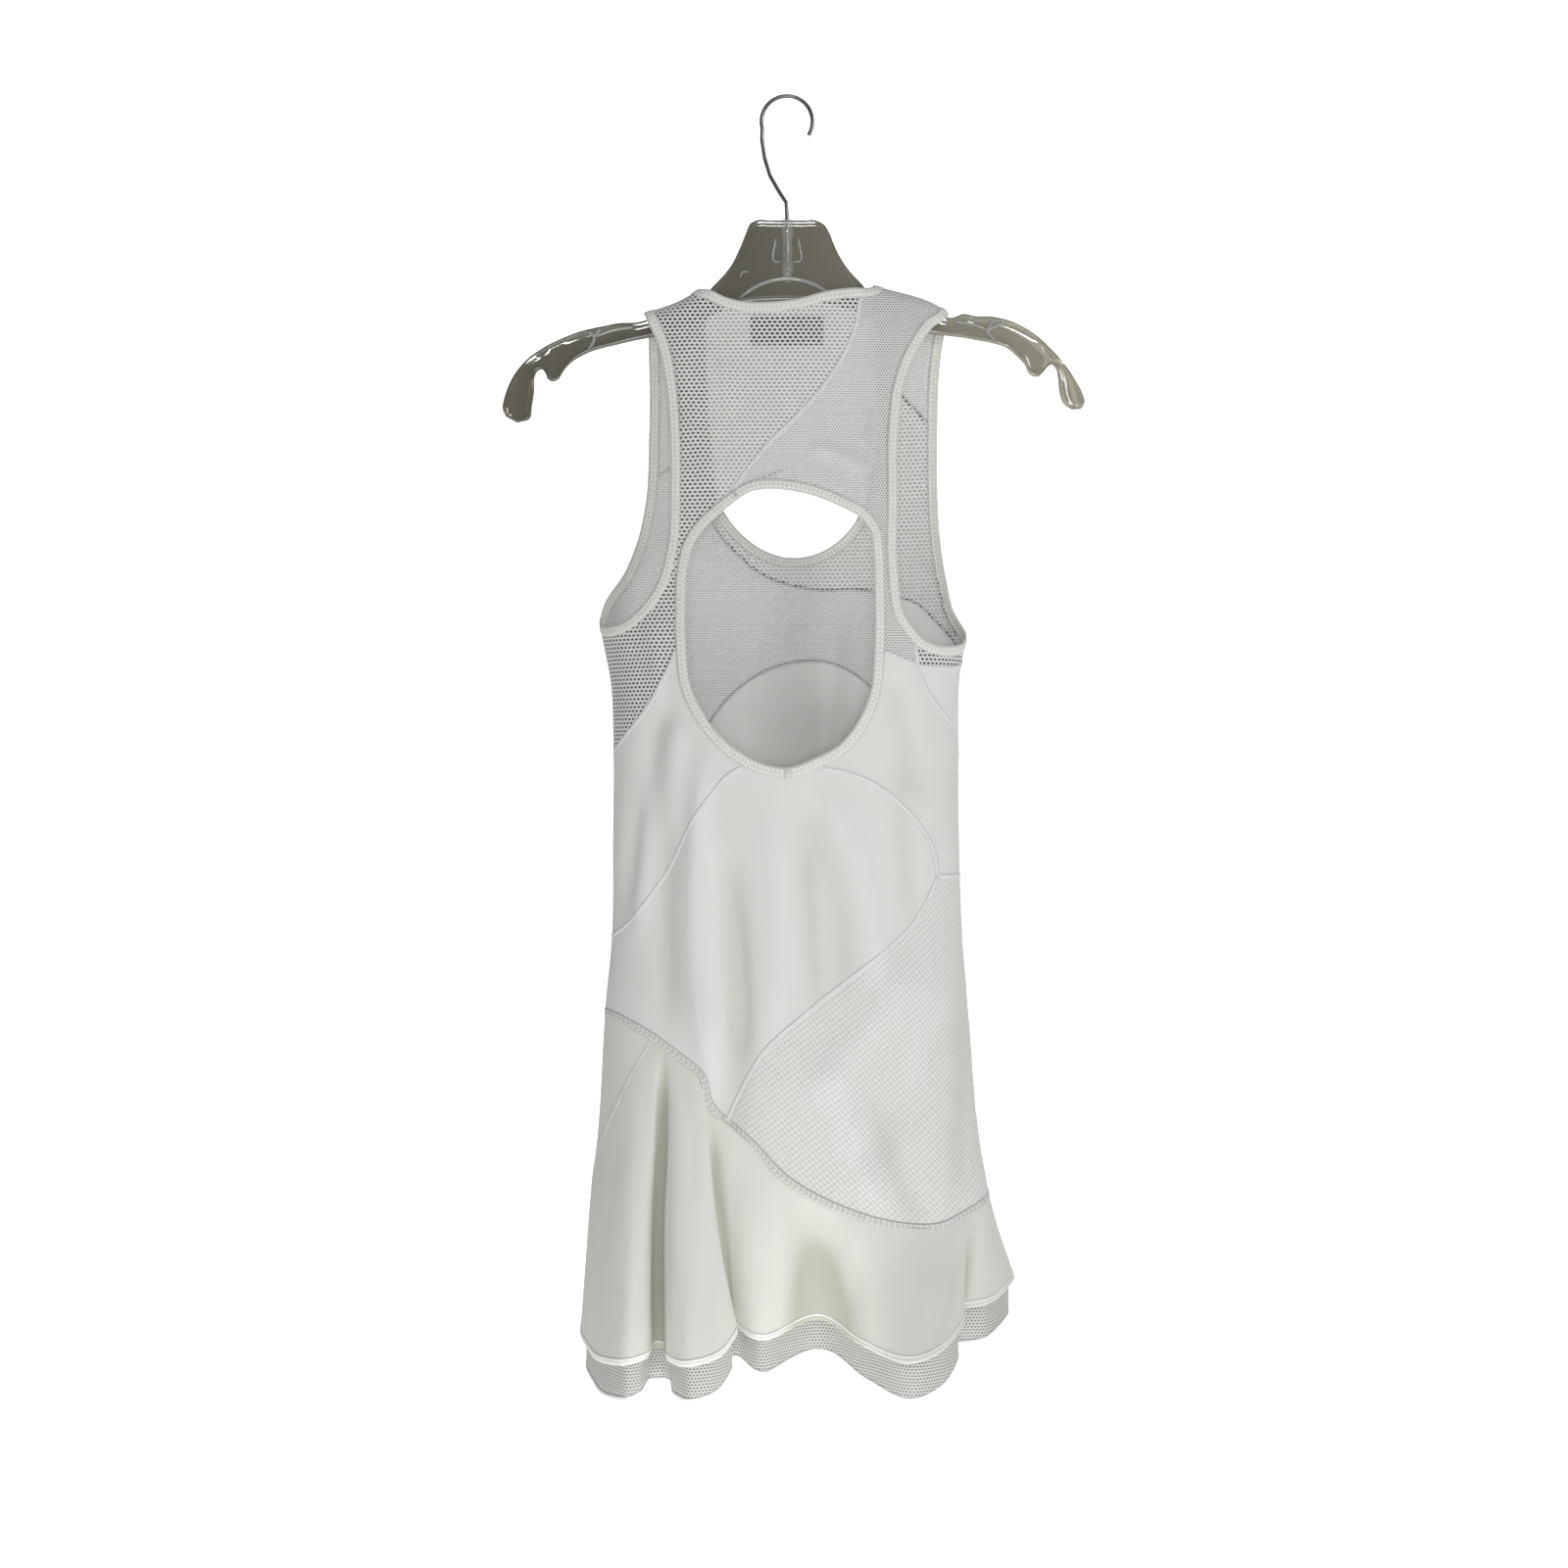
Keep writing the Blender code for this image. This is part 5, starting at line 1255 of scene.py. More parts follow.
def cloth_finish(name):
    """The finish of that name, all made when the first one is asked for."""
    if not FINISHES:
        FINISHES.update(cloth_materials(
            bpy.context.scene.dress_look.cloth_colour))
    return FINISHES[name]


FINISHES = {}
SLOTS = {
    "coarse": "mesh_coarse_white",
    "fine": "mesh_fine_white",
    "jersey": "jersey_white",
    "waffle": "waffle_white",
    "flounce": "flounce_white",
    "hem": "mesh_hem_white",
    "binding": "binding_white",
    "tape": "binding_white",
    "rope": "binding_white",
}
SEAMS_CUT = {}


def seams_now():
    """The seams, cut once."""
    if not SEAMS_CUT:
        SEAMS_CUT.update(cut_seams())
        arm = SEAMS_CUT["arm_left_front"]
        neck = SEAMS_CUT["neck_front_left"]
        start = arm[math.ceil(0.5 * (len(arm) - 1))]
        end = neck[int(0.75 * (len(neck) - 1))]
        turn = 2 * math.pi
        end = end + np.array([np.round((start[0] - end[0]) / turn) * turn, 0])
        SEAMS_CUT["strap_line"] = start + (end - start) * np.linspace(
            0, 1, 24)[:, None]
    return SEAMS_CUT


def chart_flat(angle, height):
    """Flat lengths for the UV map: round the body and down it."""
    return np.stack([to_chart(angle), height], -1)


# ---- pieces -----------------------------------------------------------------

def make_panels():
    """Each panel as a ruled sheet between its rails."""
    for name, (node, finish, first, second, pairs) in SHEETS.items():
        angle, height = ruled_grid(seams_now(), first, second, pairs)
        points = cloth_place(angle, height)
        normal = body_normal(angle, height)
        # Painted shade in the creases and folds, on the back panels only.
        shade = np.clip(0.08 - (crease_height(angle, height)
                                + 0.3 * fold_height(angle, height)) / 9.0,
                        0, 0.4) * node.startswith("back")
        item = grid_object(name, points, chart_flat(angle, height),
                           flip=turned(points, normal), merge=True,
                           shade=shade)
        finish_piece(item, cloth_finish(finish), SLOTS[finish], (node,))
        keep_sheet(item, points)
        thicken(item)


def turned(points, normal):
    """True if the grid's faces would look inwards."""
    down = points[1:, :-1] - points[:-1, :-1]
    across = points[:-1, 1:] - points[:-1, :-1]
    face = np.cross(down, across)
    return float((face * normal[:-1, :-1]).sum()) < 0


def strip_grid(names, ring_closed, across, crown, side=1.0):
    """Grid of a strip that runs beside seams: its points are seam points
    moved in the cloth by the across values and out by the crown values."""
    runs = seam_run(seams_now(), names)
    line = np.vstack([run[:-1] for run in runs] + [runs[-1][-1:]])
    if ring_closed:
        line = line[:-1]
    angle, height = line.T
    place = body(angle, height)
    normal = body_normal(angle, height)
    ahead = np.roll(place, -1, axis=0) - np.roll(place, 1, axis=0)
    if not ring_closed:
        ahead[0] = place[1] - place[0]
        ahead[-1] = place[-1] - place[-2]
    tangent = ahead / np.linalg.norm(ahead, axis=1, keepdims=True)
    sideways = np.cross(normal, tangent) * side
    sideways /= np.linalg.norm(sideways, axis=1, keepdims=True)
    length = np.concatenate([[0.0], np.cumsum(np.linalg.norm(
        np.diff(place, axis=0), axis=1))])
    columns, flats = [], []
    for amount, rise in zip(across, crown):
        spot = nearest_chart(angle, height, place + sideways * amount)
        columns.append(cloth_place(*spot) + body_normal(*spot) * rise)
        flats.append(np.column_stack([length, np.full(
            len(length), amount - across[0])]))
    return (np.stack(columns, 1), np.stack(flats, 1),
            np.repeat(normal[:, None], len(columns), 1))


def make_bindings():
    """Folded bindings with a rounded face, stitched in two rows."""
    across = np.linspace(-0.2, BINDING_WIDTH, 8)
    swell = np.sin(np.linspace(0.15, math.pi - 0.25, 8))**0.5
    for name, (names, ring_closed) in BINDINGS.items():
        points, flat, normal = strip_grid(names, ring_closed, across,
                                          0.25 + 0.75 * swell)
        item = grid_object(name + "_tape", points, flat, wrap=ring_closed,
                           flip=turned(points, normal))
        finish_piece(item, cloth_finish("binding"), SLOTS["binding"],
                     (name,))
        thicken(item, 1.9)


def make_tapes():
    """Stitched tapes over the seams."""
    for name, (names, width) in TAPES.items():
        across = np.linspace(-width / 2, width / 2, 6)
        crown = TAPE_LIFT * np.array([0.35, 0.8, 1.0, 1.0, 0.8, 0.35])
        points, flat, normal = strip_grid(names, False, across, crown)
        finish = "rope" if name.startswith("flounce") else "tape"
        item = grid_object("seam_tape_" + name, points, flat,
                           flip=turned(points, normal))
        finish_piece(item, cloth_finish(finish), SLOTS["tape"])
        thicken(item, 0.35)


FLOUNCES = []


def flounce_now():
    if not FLOUNCES:
        FLOUNCES.append(Flounce(seams_now()))
    return FLOUNCES[0]


def flounce_sides(drop):
    """Wave values of the gore seam at a drop."""
    flounce = flounce_now()
    start = float(flounce.wave_at(seams_now()["flounce_gore"][-1, 0]))
    return start + (GORE_HEM_WAVE - start) * drop**0.75


def flounce_grid(back):
    """Grid of one flounce piece from its gore seam to its hidden seam."""
    drops = np.linspace(0, 1, 60)[:, None]
    gore = flounce_sides(drops)
    if back:
        low, high, count = gore, SIDE_WAVE, 360
    else:
        low, high, count = SIDE_WAVE, gore + WAVE_COUNT, 220
    share = np.linspace(0, 1, count)[None, :]
    waves = low + (high - low) * share
    return waves, np.broadcast_to(drops, waves.shape)


# Sharper folds of the flounce: wave, half width in waves, height, and the
# drops at which the fold starts and is full
FLOUNCE_FOLDS = (
    (4.0, 0.42, -6.0, 0.0, 0.2),
    (5.5, 0.55, 3.0, 0.0, 0.3),
    (8.3, 0.45, -5.0, 0.02, 0.25),
    (9.9, 0.6, 2.5, 0.1, 0.5),
    (11.0, 0.5, -3.0, 0.15, 0.6),
    (12.0, 0.22, -1.4, 0.2, 0.6),
    (12.6, 0.25, 1.3, 0.3, 0.8),
    (13.3, 0.4, 1.8, 0.1, 0.5),
    (15.4, 0.5, -3.5, 0.1, 0.5),
    (2.2, 0.7, 2.0, 0.1, 0.5),
)


def wrinkle(waves, drops):
    """Height of the sharper folds, each a rounded ridge or valley along its
    wave, and of faint wrinkles that grow downwards."""
    total = 0.6 * drops * np.sin(waves * 5.1 + 2.0 * drops) * np.sin(
        drops * 7.0 + waves * 1.3)
    for wave, width, size, start, full in FLOUNCE_FOLDS:
        total = total + size * ease((drops - start) / (full - start)) * (
            1 - 0.45 * drops) * np.exp(-((waves - wave) / width)**2)
    return total


def valley_painted_shade(points, normal):
    """How far each point lies inside the row's own smoothed line, as a share
    of 8 millimetres: the smoothed line is a running mean of 61 points. The
    flounce uses it as painted shade in its valleys."""
    ends = 30
    padded = np.pad(points, ((0, 0), (ends, ends), (0, 0)), mode="reflect",
                    reflect_type="odd")
    total = np.cumsum(np.pad(padded, ((0, 0), (1, 0), (0, 0))), axis=1)
    mean = (total[:, 2 * ends + 1:] - total[:, :-2 * ends - 1]) / (
        2 * ends + 1)
    inside_by = -((points - mean) * normal).sum(-1)
    return np.clip(0.15 + inside_by / 8.0, 0, 1)


def make_flounces():
    """Outer flounce in two pieces."""
    flounce = flounce_now()
    for name, back in (("flounce_back", True), ("flounce_front", False)):
        waves, drops = flounce_grid(back)
        normal = flounce.normal(waves, drops)
        points = flounce.place(waves, drops) + (
            normal * wrinkle(waves, drops)[..., None])
        # The valleys of the flounce get painted shade.
        item = grid_object(name + "_cloth", points, flat_lengths(points),
                           flip=turned(points, normal), merge=True,
                           shade=valley_painted_shade(points, normal))
        finish_piece(item, cloth_finish("flounce"), SLOTS["flounce"],
                     (name,))
        keep_sheet(item, points, rests=("back_skirt_waffle_cloth",))
        thicken(item)


def make_gore_seam():
    """Stitched seam between the two flounce pieces, in view at the left."""
    flounce = flounce_now()
    drops = np.linspace(0.0, 1.0, 160)[:, None]
    side = np.array([-1.3, -0.7, 0.0, 0.7, 1.3])[None]
    lift = np.array([0.1, 0.4, 0.3, 0.4, 0.1])[None]
    waves = flounce_sides(drops) + side / 24.0
    drops = np.broadcast_to(drops, waves.shape)
    normal = flounce.normal(waves, drops)
    points = flounce.place(waves, drops) + normal * (
        wrinkle(waves, drops) + lift)[..., None]
    length = np.concatenate([[0.0], np.cumsum(np.linalg.norm(
        np.diff(points[:, 2], axis=0), axis=1))])
    flat = np.stack([np.repeat(length[:, None], 5, 1),
                     np.broadcast_to(side + 1.6, drops.shape)], -1)
    item = grid_object("gore_seam_stitch", points, flat,
                       flip=turned(points, normal))
    finish_piece(item, cloth_finish("tape"), SLOTS["tape"])
    thicken(item, 0.3)


def flat_lengths(points):
    """Flat lengths along the rows and down the columns of a grid."""
    across = np.linalg.norm(np.diff(points, axis=1), axis=2)
    down = np.linalg.norm(np.diff(points, axis=0), axis=2)
    u = np.concatenate([np.zeros((len(points), 1)),
                        np.cumsum(across, axis=1)], 1)
    v = np.concatenate([np.zeros((1, points.shape[1])),
                        np.cumsum(down, axis=0)], 0)
    return np.stack([u[len(u) // 2][None] + u * 0, v], -1)


def underlayer_place(waves, share, lift=0.0):
    """Places of the mesh layer at waves and shares of its own length, and
    the direction outwards there."""
    flounce = flounce_now()
    hem = np.interp(waves, HEM[:, 0], HEM[:, 4])
    angle, seam = flounce.start(waves)
    level = flounce.level_seam(angle)
    height = level + (hem - UNDERLAYER_LONGER - level) * share
    drop = np.minimum((seam - height) / (seam - hem), 1.0)
    extra = np.maximum(hem - height, 0.0)
    waves = np.broadcast_to(waves, drop.shape)
    normal = flounce.normal(waves, np.maximum(drop, 0.02))
    gap = WALL + UNDERLAYER_GAP * ease(share / 0.2) - lift
    points = flounce.place(waves, drop) + normal * (
        wrinkle(waves, drop) - gap)[..., None]
    points[..., 2] -= extra
    return points, normal


def make_underlayers():
    """Mesh layer inside the flounce, with its turned edge, showing below
    the flounce hem."""
    flounce = flounce_now()
    for name, low, high in (("underflounce_back", -0.5, SIDE_WAVE),
                            ("underflounce_front", SIDE_WAVE,
                             WAVE_COUNT - 0.5)):
        waves = flounce.even_waves(low, high)
        share = np.linspace(0, 1, 38)[:, None]
        points, normal = underlayer_place(waves, share)
        step = np.linalg.norm(np.diff(points[-6], axis=0), axis=1)
        along = np.concatenate([[0.0], np.cumsum(step)])
        flat = np.stack([np.broadcast_to(along, points.shape[:2]),
                         points[..., 2]], -1)
        item = grid_object(name + "_mesh", points, flat,
                           flip=turned(points, normal))
        finish_piece(item, cloth_finish("hem"), SLOTS["hem"], (name,))
        keep_sheet(item, points, rests=("flounce_back_cloth",))
        thicken(item, 0.6)
        edge_share = np.array([0.990, 0.993, 0.997, 1.0])[:, None]
        edge, edge_normal = underlayer_place(waves, edge_share, 0.45)
        width = np.array([0.0, 0.8, 1.6, 2.4])[:, None] + 0 * along
        edge_flat = np.stack([np.broadcast_to(along, width.shape), width], -1)
        band = grid_object(name + "_edge", edge, edge_flat,
                           flip=turned(edge, edge_normal))
        finish_piece(band, cloth_finish("tape"), SLOTS["tape"])
        thicken(band, 0.8)


def make_hem_stitches():
    """Stitch line just above the flounce hem."""
    flounce = flounce_now()
    for name, low, high in (("back", GORE_HEM_WAVE, SIDE_WAVE),
                            ("front", SIDE_WAVE,
                             GORE_HEM_WAVE + WAVE_COUNT)):
        waves = np.linspace(low, high, 600)[:, None]
        hem = np.interp(waves, HEM[:, 0], HEM[:, 4])
        _, seam = flounce.start(waves)
        above = np.array([3.0, 3.6, 4.2, 4.8])[None]
        drops = 1 - above / (seam - hem)
        waves = np.broadcast_to(waves, drops.shape)
        normal = flounce.normal(waves, drops)
        lift = np.array([0.1, 0.45, 0.45, 0.1])[None, :, None]
        points = flounce.place(waves, drops) + normal * (
            wrinkle(waves, drops)[..., None] + lift)
        length = np.concatenate([[0.0], np.cumsum(np.linalg.norm(
            np.diff(points[:, 1], axis=0), axis=1))])
        flat = np.stack([np.repeat(length[:, None], 4, 1),
                         np.broadcast_to(above, drops.shape)], -1)
        item = grid_object("hem_stitch_" + name, points, flat,
                           flip=turned(points, normal))
        finish_piece(item, cloth_finish("tape"), SLOTS["tape"])
        thicken(item, 0.3)


def make_bartack():
    """Short dense bar of stitches that joins the ends of the keyhole
    binding: a raised patch whose height is a rounded step at its edges."""
    x, z = np.meshgrid(np.linspace(-2.2, 3.4, 12),
                       np.linspace(-506.3, -499.8, 14))
    centre, half, _, _ = ring(z)
    angle = np.arcsin((x - centre) / half)
    edge = np.minimum(ease(np.minimum(x + 2.2, 3.4 - x) / 0.9),
                      ease(np.minimum(z + 506.3, -499.8 - z) / 0.9))
    normal = body_normal(angle, z)
    points = cloth_place(angle, z) + normal * (0.7 + 1.0 * edge)[..., None]
    item = grid_object("keyhole_bartack", points,
                       np.stack([z + 510.0, x + 2.3], -1),
                       flip=turned(points, normal))
    finish_piece(item, cloth_finish("binding"), SLOTS["binding"])
    thicken(item, 0.5)


def make_label():
    """Bare woven label inside the back neck."""
    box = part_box("neck_label")
    left, right = box[0][0] / METRES, box[1][0] / METRES
    bottom, top = box[0][2] / METRES, box[1][2] / METRES
    x, z = np.meshgrid(np.linspace(left, right, 40),
                       np.linspace(bottom, top, 22))
    centre, half, _, _ = ring(z)
    angle = np.arcsin((x - centre) / half)
    normal = body_normal(angle, z)
    points = body(angle, z) - normal * (WALL + 0.35)
    item = grid_object("neck_label_woven", points,
                       np.stack([x, z], -1), flip=turned(points, normal))
    make = Maker("dark_woven_label", 0.6, 0.2)
    weave = make.use(bpy.data.node_groups["knit_relief"], Pitch=0.0008,
                     Row=0.0008)
    make.colour(make.mix(weave.outputs[0], (0.02, 0.02, 0.024),
                         (0.05, 0.05, 0.055)))
    make.bump(weave.outputs[0], 0.0001)
    finish_piece(item, make.material, "label_dark", ("neck_label",))
    thicken(item, 0.8)


# Hanger edge as drawn, from the left tip: top x and height, bottom x and
# height.  The notch and its curled tongue lie on the bottom edge.
HANGER_EDGE = (
    (-209.0, -237.0, -200.5, -241.5),
    (-211.5, -231.0, -191.5, -239.0),
    (-210.0, -222.0, -189.0, -228.0),
    (-206.0, -211.5, -187.5, -217.0),
    (-201.0, -203.0, -187.5, -208.5),
    (-195.5, -196.5, -185.5, -203.5),
    (-190.0, -191.5, -182.0, -202.0),
    (-184.0, -187.5, -179.5, -205.0),
    (-178.5, -184.0, -177.5, -209.5),
    (-173.5, -181.5, -173.5, -211.0),
    (-169.0, -179.5, -169.5, -209.0),
    (-164.5, -177.5, -166.5, -204.0),
    (-158.0, -175.0, -161.0, -197.5),
    (-148.0, -172.0, -148.5, -190.0),
    (-136.0, -169.5, -140.0, -187.0),
    (-124.0, -167.3, -126.0, -183.5),
    (-112.0, -166.9, -113.0, -180.5),
    (-104.0, -165.0, -103.0, -178.5),
    (-82.0, -155.9, -82.0, -174.0),
    (-64.0, -149.5, -66.0, -168.5),
    (-54.5, -139.5, -52.0, -160.0),
    (-46.0, -130.5, -45.0, -157.5),
    (-39.5, -121.0, -38.0, -154.5),
    (-34.0, -109.0, -34.0, -153.5),
    (-30.0, -99.0, -30.5, -153.0),
    (-27.5, -93.5, -27.0, -152.5),
    (-23.5, -91.3, -24.0, -152.2),
    (-12.0, -91.0, -11.5, -151.5),
    (12.0, -91.0, 11.5, -151.5),
    (22.5, -91.3, 22.5, -152.2),
    (28.0, -94.5, 27.0, -152.5),
    (31.5, -100.0, 30.5, -153.0),
    (35.5, -110.0, 34.0, -153.5),
    (40.0, -119.0, 38.0, -154.5),
    (46.5, -128.5, 44.0, -157.0),
    (54.5, -137.0, 51.0, -158.5),
    (66.0, -149.0, 64.0, -167.0),
    (85.0, -149.7, 85.0, -171.0),
    (105.0, -158.8, 104.0, -175.0),
    (123.0, -163.3, 122.0, -177.3),
    (131.0, -160.5, 131.0, -178.5),
    (139.0, -162.0, 141.0, -180.3),
    (154.5, -162.8, 156.5, -183.5),
    (165.5, -165.5, 164.0, -186.5),
    (174.0, -169.3, 171.0, -192.5),
    (182.0, -174.0, 176.5, -198.5),
    (188.0, -178.5, 179.5, -204.5),
    (193.5, -183.5, 184.0, -207.5),
    (199.0, -189.0, 189.0, -206.0),
    (203.5, -194.0, 192.0, -200.5),
    (207.5, -199.0, 195.5, -197.5),
    (211.5, -204.5, 199.5, -201.0),
    (216.0, -212.0, 201.5, -209.5),
    (220.0, -220.0, 202.5, -219.5),
    (221.5, -226.5, 205.5, -227.5),
    (218.5, -231.3, 211.5, -231.8),
)
RIM_BEAD = 2.6           # height of the bead along both edges
WEB = 1.0                # half thickness of the sheet between the beads

# Raised ribs on the sheet: points x and height, width
HANGER_RIBS = (
    (((-149.0, -172.5), (-143.5, -178.0), (-148.0, -189.0)), 1.3),
    (((-137.5, -170.5), (-143.5, -178.0)), 1.3),
    (((-143.5, -178.0), (-131.0, -173.5), (-112.0, -170.0)), 1.0),
    (((154.0, -164.5), (149.0, -172.5), (157.5, -183.5)), 1.3),
    (((162.5, -166.5), (149.0, -172.5)), 1.3),
    (((149.0, -172.5), (138.0, -168.5), (124.0, -166.5)), 1.0),
    (((-36.0, -149.5), (-24.0, -141.0), (-9.0, -135.5), (9.0, -135.5),
      (24.0, -141.0), (36.0, -149.5)), 1.5),
    (((-8.5, -104.5), (-8.5, -122.0), (-4.5, -122.0)), 0.8),
    (((8.5, -104.5), (8.5, -122.0), (4.5, -122.0)), 0.8),
    (((-35.0, -133.5), (-32.5, -129.5), (-28.5, -130.0)), 0.7),
)


def smooth_rows(table, count):
    """The table's columns on a smooth curve through its rows, evenly spaced
    by the length of the first two columns."""
    rows = np.array(table)
    step = np.linalg.norm(np.diff(rows[:, :2], axis=0), axis=1) + (
        np.linalg.norm(np.diff(rows[:, 2:], axis=0), axis=1)
        if rows.shape[1] > 2 else 0)
    place = np.concatenate([[0.0], np.cumsum(step)])
    slope = np.gradient(rows, place, axis=0)
    even = np.linspace(0, place[-1], count)
    which = np.clip(np.searchsorted(place, even, side="right") - 1, 0,
                    len(place) - 2)
    span = (place[which + 1] - place[which])[:, None]
    t = (even[:, None] - place[which][:, None]) / span
    a, b = rows[which], rows[which + 1]
    down, up = slope[which] * span, slope[which + 1] * span
    return ((2 * t**3 - 3 * t**2 + 1) * a + (t**3 - 2 * t**2 + t) * down
            + (3 * t**2 - 2 * t**3) * b + (t**3 - t**2) * up)


def hanger_sheet():
    """Closed surface of the hanger: rows of loops that go down the front of
    the sheet and up its back, thick at the beads and thin between them."""
    rows = smooth_rows(HANGER_EDGE, 320)
    top, bottom = rows[:, :2], rows[:, 2:]
    reach = np.linalg.norm(bottom - top, axis=1)[:, None]
    share = np.array([0.0, 0.012, 0.035, 0.06, 0.09, 0.12, 0.16, 0.35, 0.65,
                      0.84, 0.88, 0.91, 0.94, 0.965, 0.988, 1.0])[None]
    edge = np.minimum(share, 1 - share) * reach
    bead = np.sqrt(np.clip(1 - (edge / 2.2 - 1)**2, 0, 1))
    half = np.where(edge < 2.2, bead * RIM_BEAD, WEB + (RIM_BEAD - WEB)
                    * np.exp(-((edge - 2.2) / 0.9)**2))
    end = np.linspace(0, 1, len(rows))[:, None]
    close = np.minimum(ease(end / 0.012), ease((1 - end) / 0.012))
    half = half * np.sqrt(close)
    x = top[:, :1] * (1 - share) + bottom[:, :1] * share
    z = top[:, 1:] * (1 - share) + bottom[:, 1:] * share
    front = np.stack([x, -half, z], -1)
    rear = np.stack([x, half, z], -1)[:, ::-1]
    loop = np.concatenate([front, rear[:, 1:-1]], 1)
    loop = np.concatenate([loop, loop[:, :1]], 1)
    # UV v marks the bead edges, where the material paints a lighter colour: a painted
    # highlight.
    rim_painted_highlight = np.where(edge < 1.6, 1.0, 0.0) * METRES * 100
    rim_painted_highlight = np.concatenate([rim_painted_highlight, rim_painted_highlight[:, ::-1][:, 1:-1], rim_painted_highlight[:, :1]], 1)
    along = np.broadcast_to(x[:, :1], rim_painted_highlight.shape)
    return loop, np.stack([along, rim_painted_highlight], -1)


def rib_object(name, points, radius, depth):
    """A half-round rib along points x and height, at a depth."""
    line = smooth_rows(points, 26)
    ahead = np.gradient(line, axis=0)
    ahead /= np.linalg.norm(ahead, axis=1, keepdims=True)
    turn = np.linspace(0, 2 * math.pi, 13)
    size = radius * np.sqrt(np.clip(np.minimum(
        np.linspace(0, 8, 26), np.linspace(8, 0, 26)), 0.02, 1))
    loop = np.stack([
        line[:, :1] - ahead[:, 1:] * size[:, None] * np.cos(turn)[None],
        depth - size[:, None] * np.sin(turn)[None],
        line[:, 1:] + ahead[:, :1] * size[:, None] * np.cos(turn)[None]], -1)
    return grid_object(name, loop, np.ones((*loop.shape[:2], 2)) * 100,
                       merge=True)


def join_pieces(name, pieces):
    """One object of several, with normals looking outwards."""
    work = bmesh.new()
    for piece in pieces:
        work.from_mesh(piece.data)
    bmesh.ops.recalc_face_normals(work, faces=work.faces)
    mesh = bpy.data.meshes.new(name)
    work.to_mesh(mesh)
    work.free()
    mesh.shade_smooth()
    for piece in pieces:
        old = piece.data
        bpy.data.objects.remove(piece)
        bpy.data.meshes.remove(old)
    item = bpy.data.objects.new(name, mesh)
    bpy.context.scene.collection.objects.link(item)
    return item


def turned_profile(name, profile, count=32):
    """A round piece about the upright through the origin, from radii and
    heights."""
    turn = np.linspace(0, 2 * math.pi, count + 1)
    rows = np.array(profile)
    loop = np.stack([rows[:, :1] * np.cos(turn), rows[:, :1] * np.sin(turn),
                     np.broadcast_to(rows[:, 1:], (len(rows), count + 1))],
                    -1)
    return grid_object(name, loop, np.ones((*loop.shape[:2], 2)) * 100,
                       merge=True)


def make_hanger(look):
    """Smoky clear plastic hanger with its beads, ribs and hub, and the dull
    steel of its hook. The plastic has a painted highlight along its bead edges
    and painted light that makes it lighter towards the right."""
    loop, flat = hanger_sheet()
    sheet = grid_object("hanger_sheet", loop, flat, merge=True)
    close_ends(sheet)
    pieces = [sheet]
    for number, (points, radius) in enumerate(HANGER_RIBS):
        for depth in (-WEB, WEB):
            pieces.append(rib_object(f"rib_{number}_{depth}", points, radius,
                                     depth))
    hub = turned_profile("hanger_clear_hub", (
        (1.7, -90.6), (3.2, -90.6), (4.6, -91.4), (4.7, -93.0),
        (4.7, -103.0), (3.9, -104.0), (3.9, -121.0), (4.7, -122.0),
        (4.4, -129.0), (3.4, -135.5), (2.0, -137.8), (0.0, -138.0)))
    glaze = Maker("clear_hub_plastic", 0.06)
    glaze.shader.inputs["Base Color"].default_value = (0.55, 0.55, 0.53, 1)
    glaze.shader.inputs["Alpha"].default_value = 0.35
    glaze.shader.inputs["Specular IOR Level"].default_value = 0.8
    finish_piece(hub, glaze.material, "hanger_clear")
    item = join_pieces("hanger_clear_body", pieces)
    make = Maker("smoky_clear_plastic", 0.07)
    shader = make.shader
    uv = make.tree.nodes.new("ShaderNodeUVMap")
    uv.uv_map = "flat"
    split = make.tree.nodes.new("ShaderNodeSeparateXYZ")
    make.tree.links.new(uv.outputs[0], split.inputs[0])
    rim_painted_highlight = math_node(make.tree, "MULTIPLY", split.outputs[1], 10.0)
    rim_painted_highlight.node.use_clamp = True
    place = make.tree.nodes.new("ShaderNodeTexCoord")
    side = make.tree.nodes.new("ShaderNodeSeparateXYZ")
    make.tree.links.new(place.outputs["Object"], side.inputs[0])
    # Plastic lighter towards the right side: painted light.
    across = math_node(make.tree, "MULTIPLY_ADD", side.outputs[0], 5.0, 0.15)
    across.node.use_clamp = True
    painted_side_light_tint = make.mix(across, tuple(look.plastic_colour),
                         tuple(min(1.0, c * 2.3)
                               for c in look.plastic_colour))
    # Bead edges painted lighter grey: painted highlight.
    make.colour(make.mix(rim_painted_highlight, painted_side_light_tint, (0.45, 0.45, 0.43)))
    shader.inputs["Transmission Weight"].default_value = 0.25
    shader.inputs["IOR"].default_value = 1.49
    shader.inputs["Specular IOR Level"].default_value = 0.5
    shader.inputs["Coat Weight"].default_value = 0.6
    finish_piece(item, make.material, "hanger_clear", ("hanger_body",))
    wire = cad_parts["hanger_hook"]
    make = Maker("dull_steel_wire", 0.35)
    make.shader.inputs["Metallic"].default_value = 1.0
    tone = make.use(bpy.data.node_groups["uneven_cloth"], Scale=300.0)
    make.colour(make.mix(tone.outputs[0], (0.10, 0.10, 0.095),
                         (0.22, 0.22, 0.21)))
    make.bump(tone.outputs[0], 0.00008, 0.3)
    set_material(wire, make.material)
    wire.data.shade_smooth()


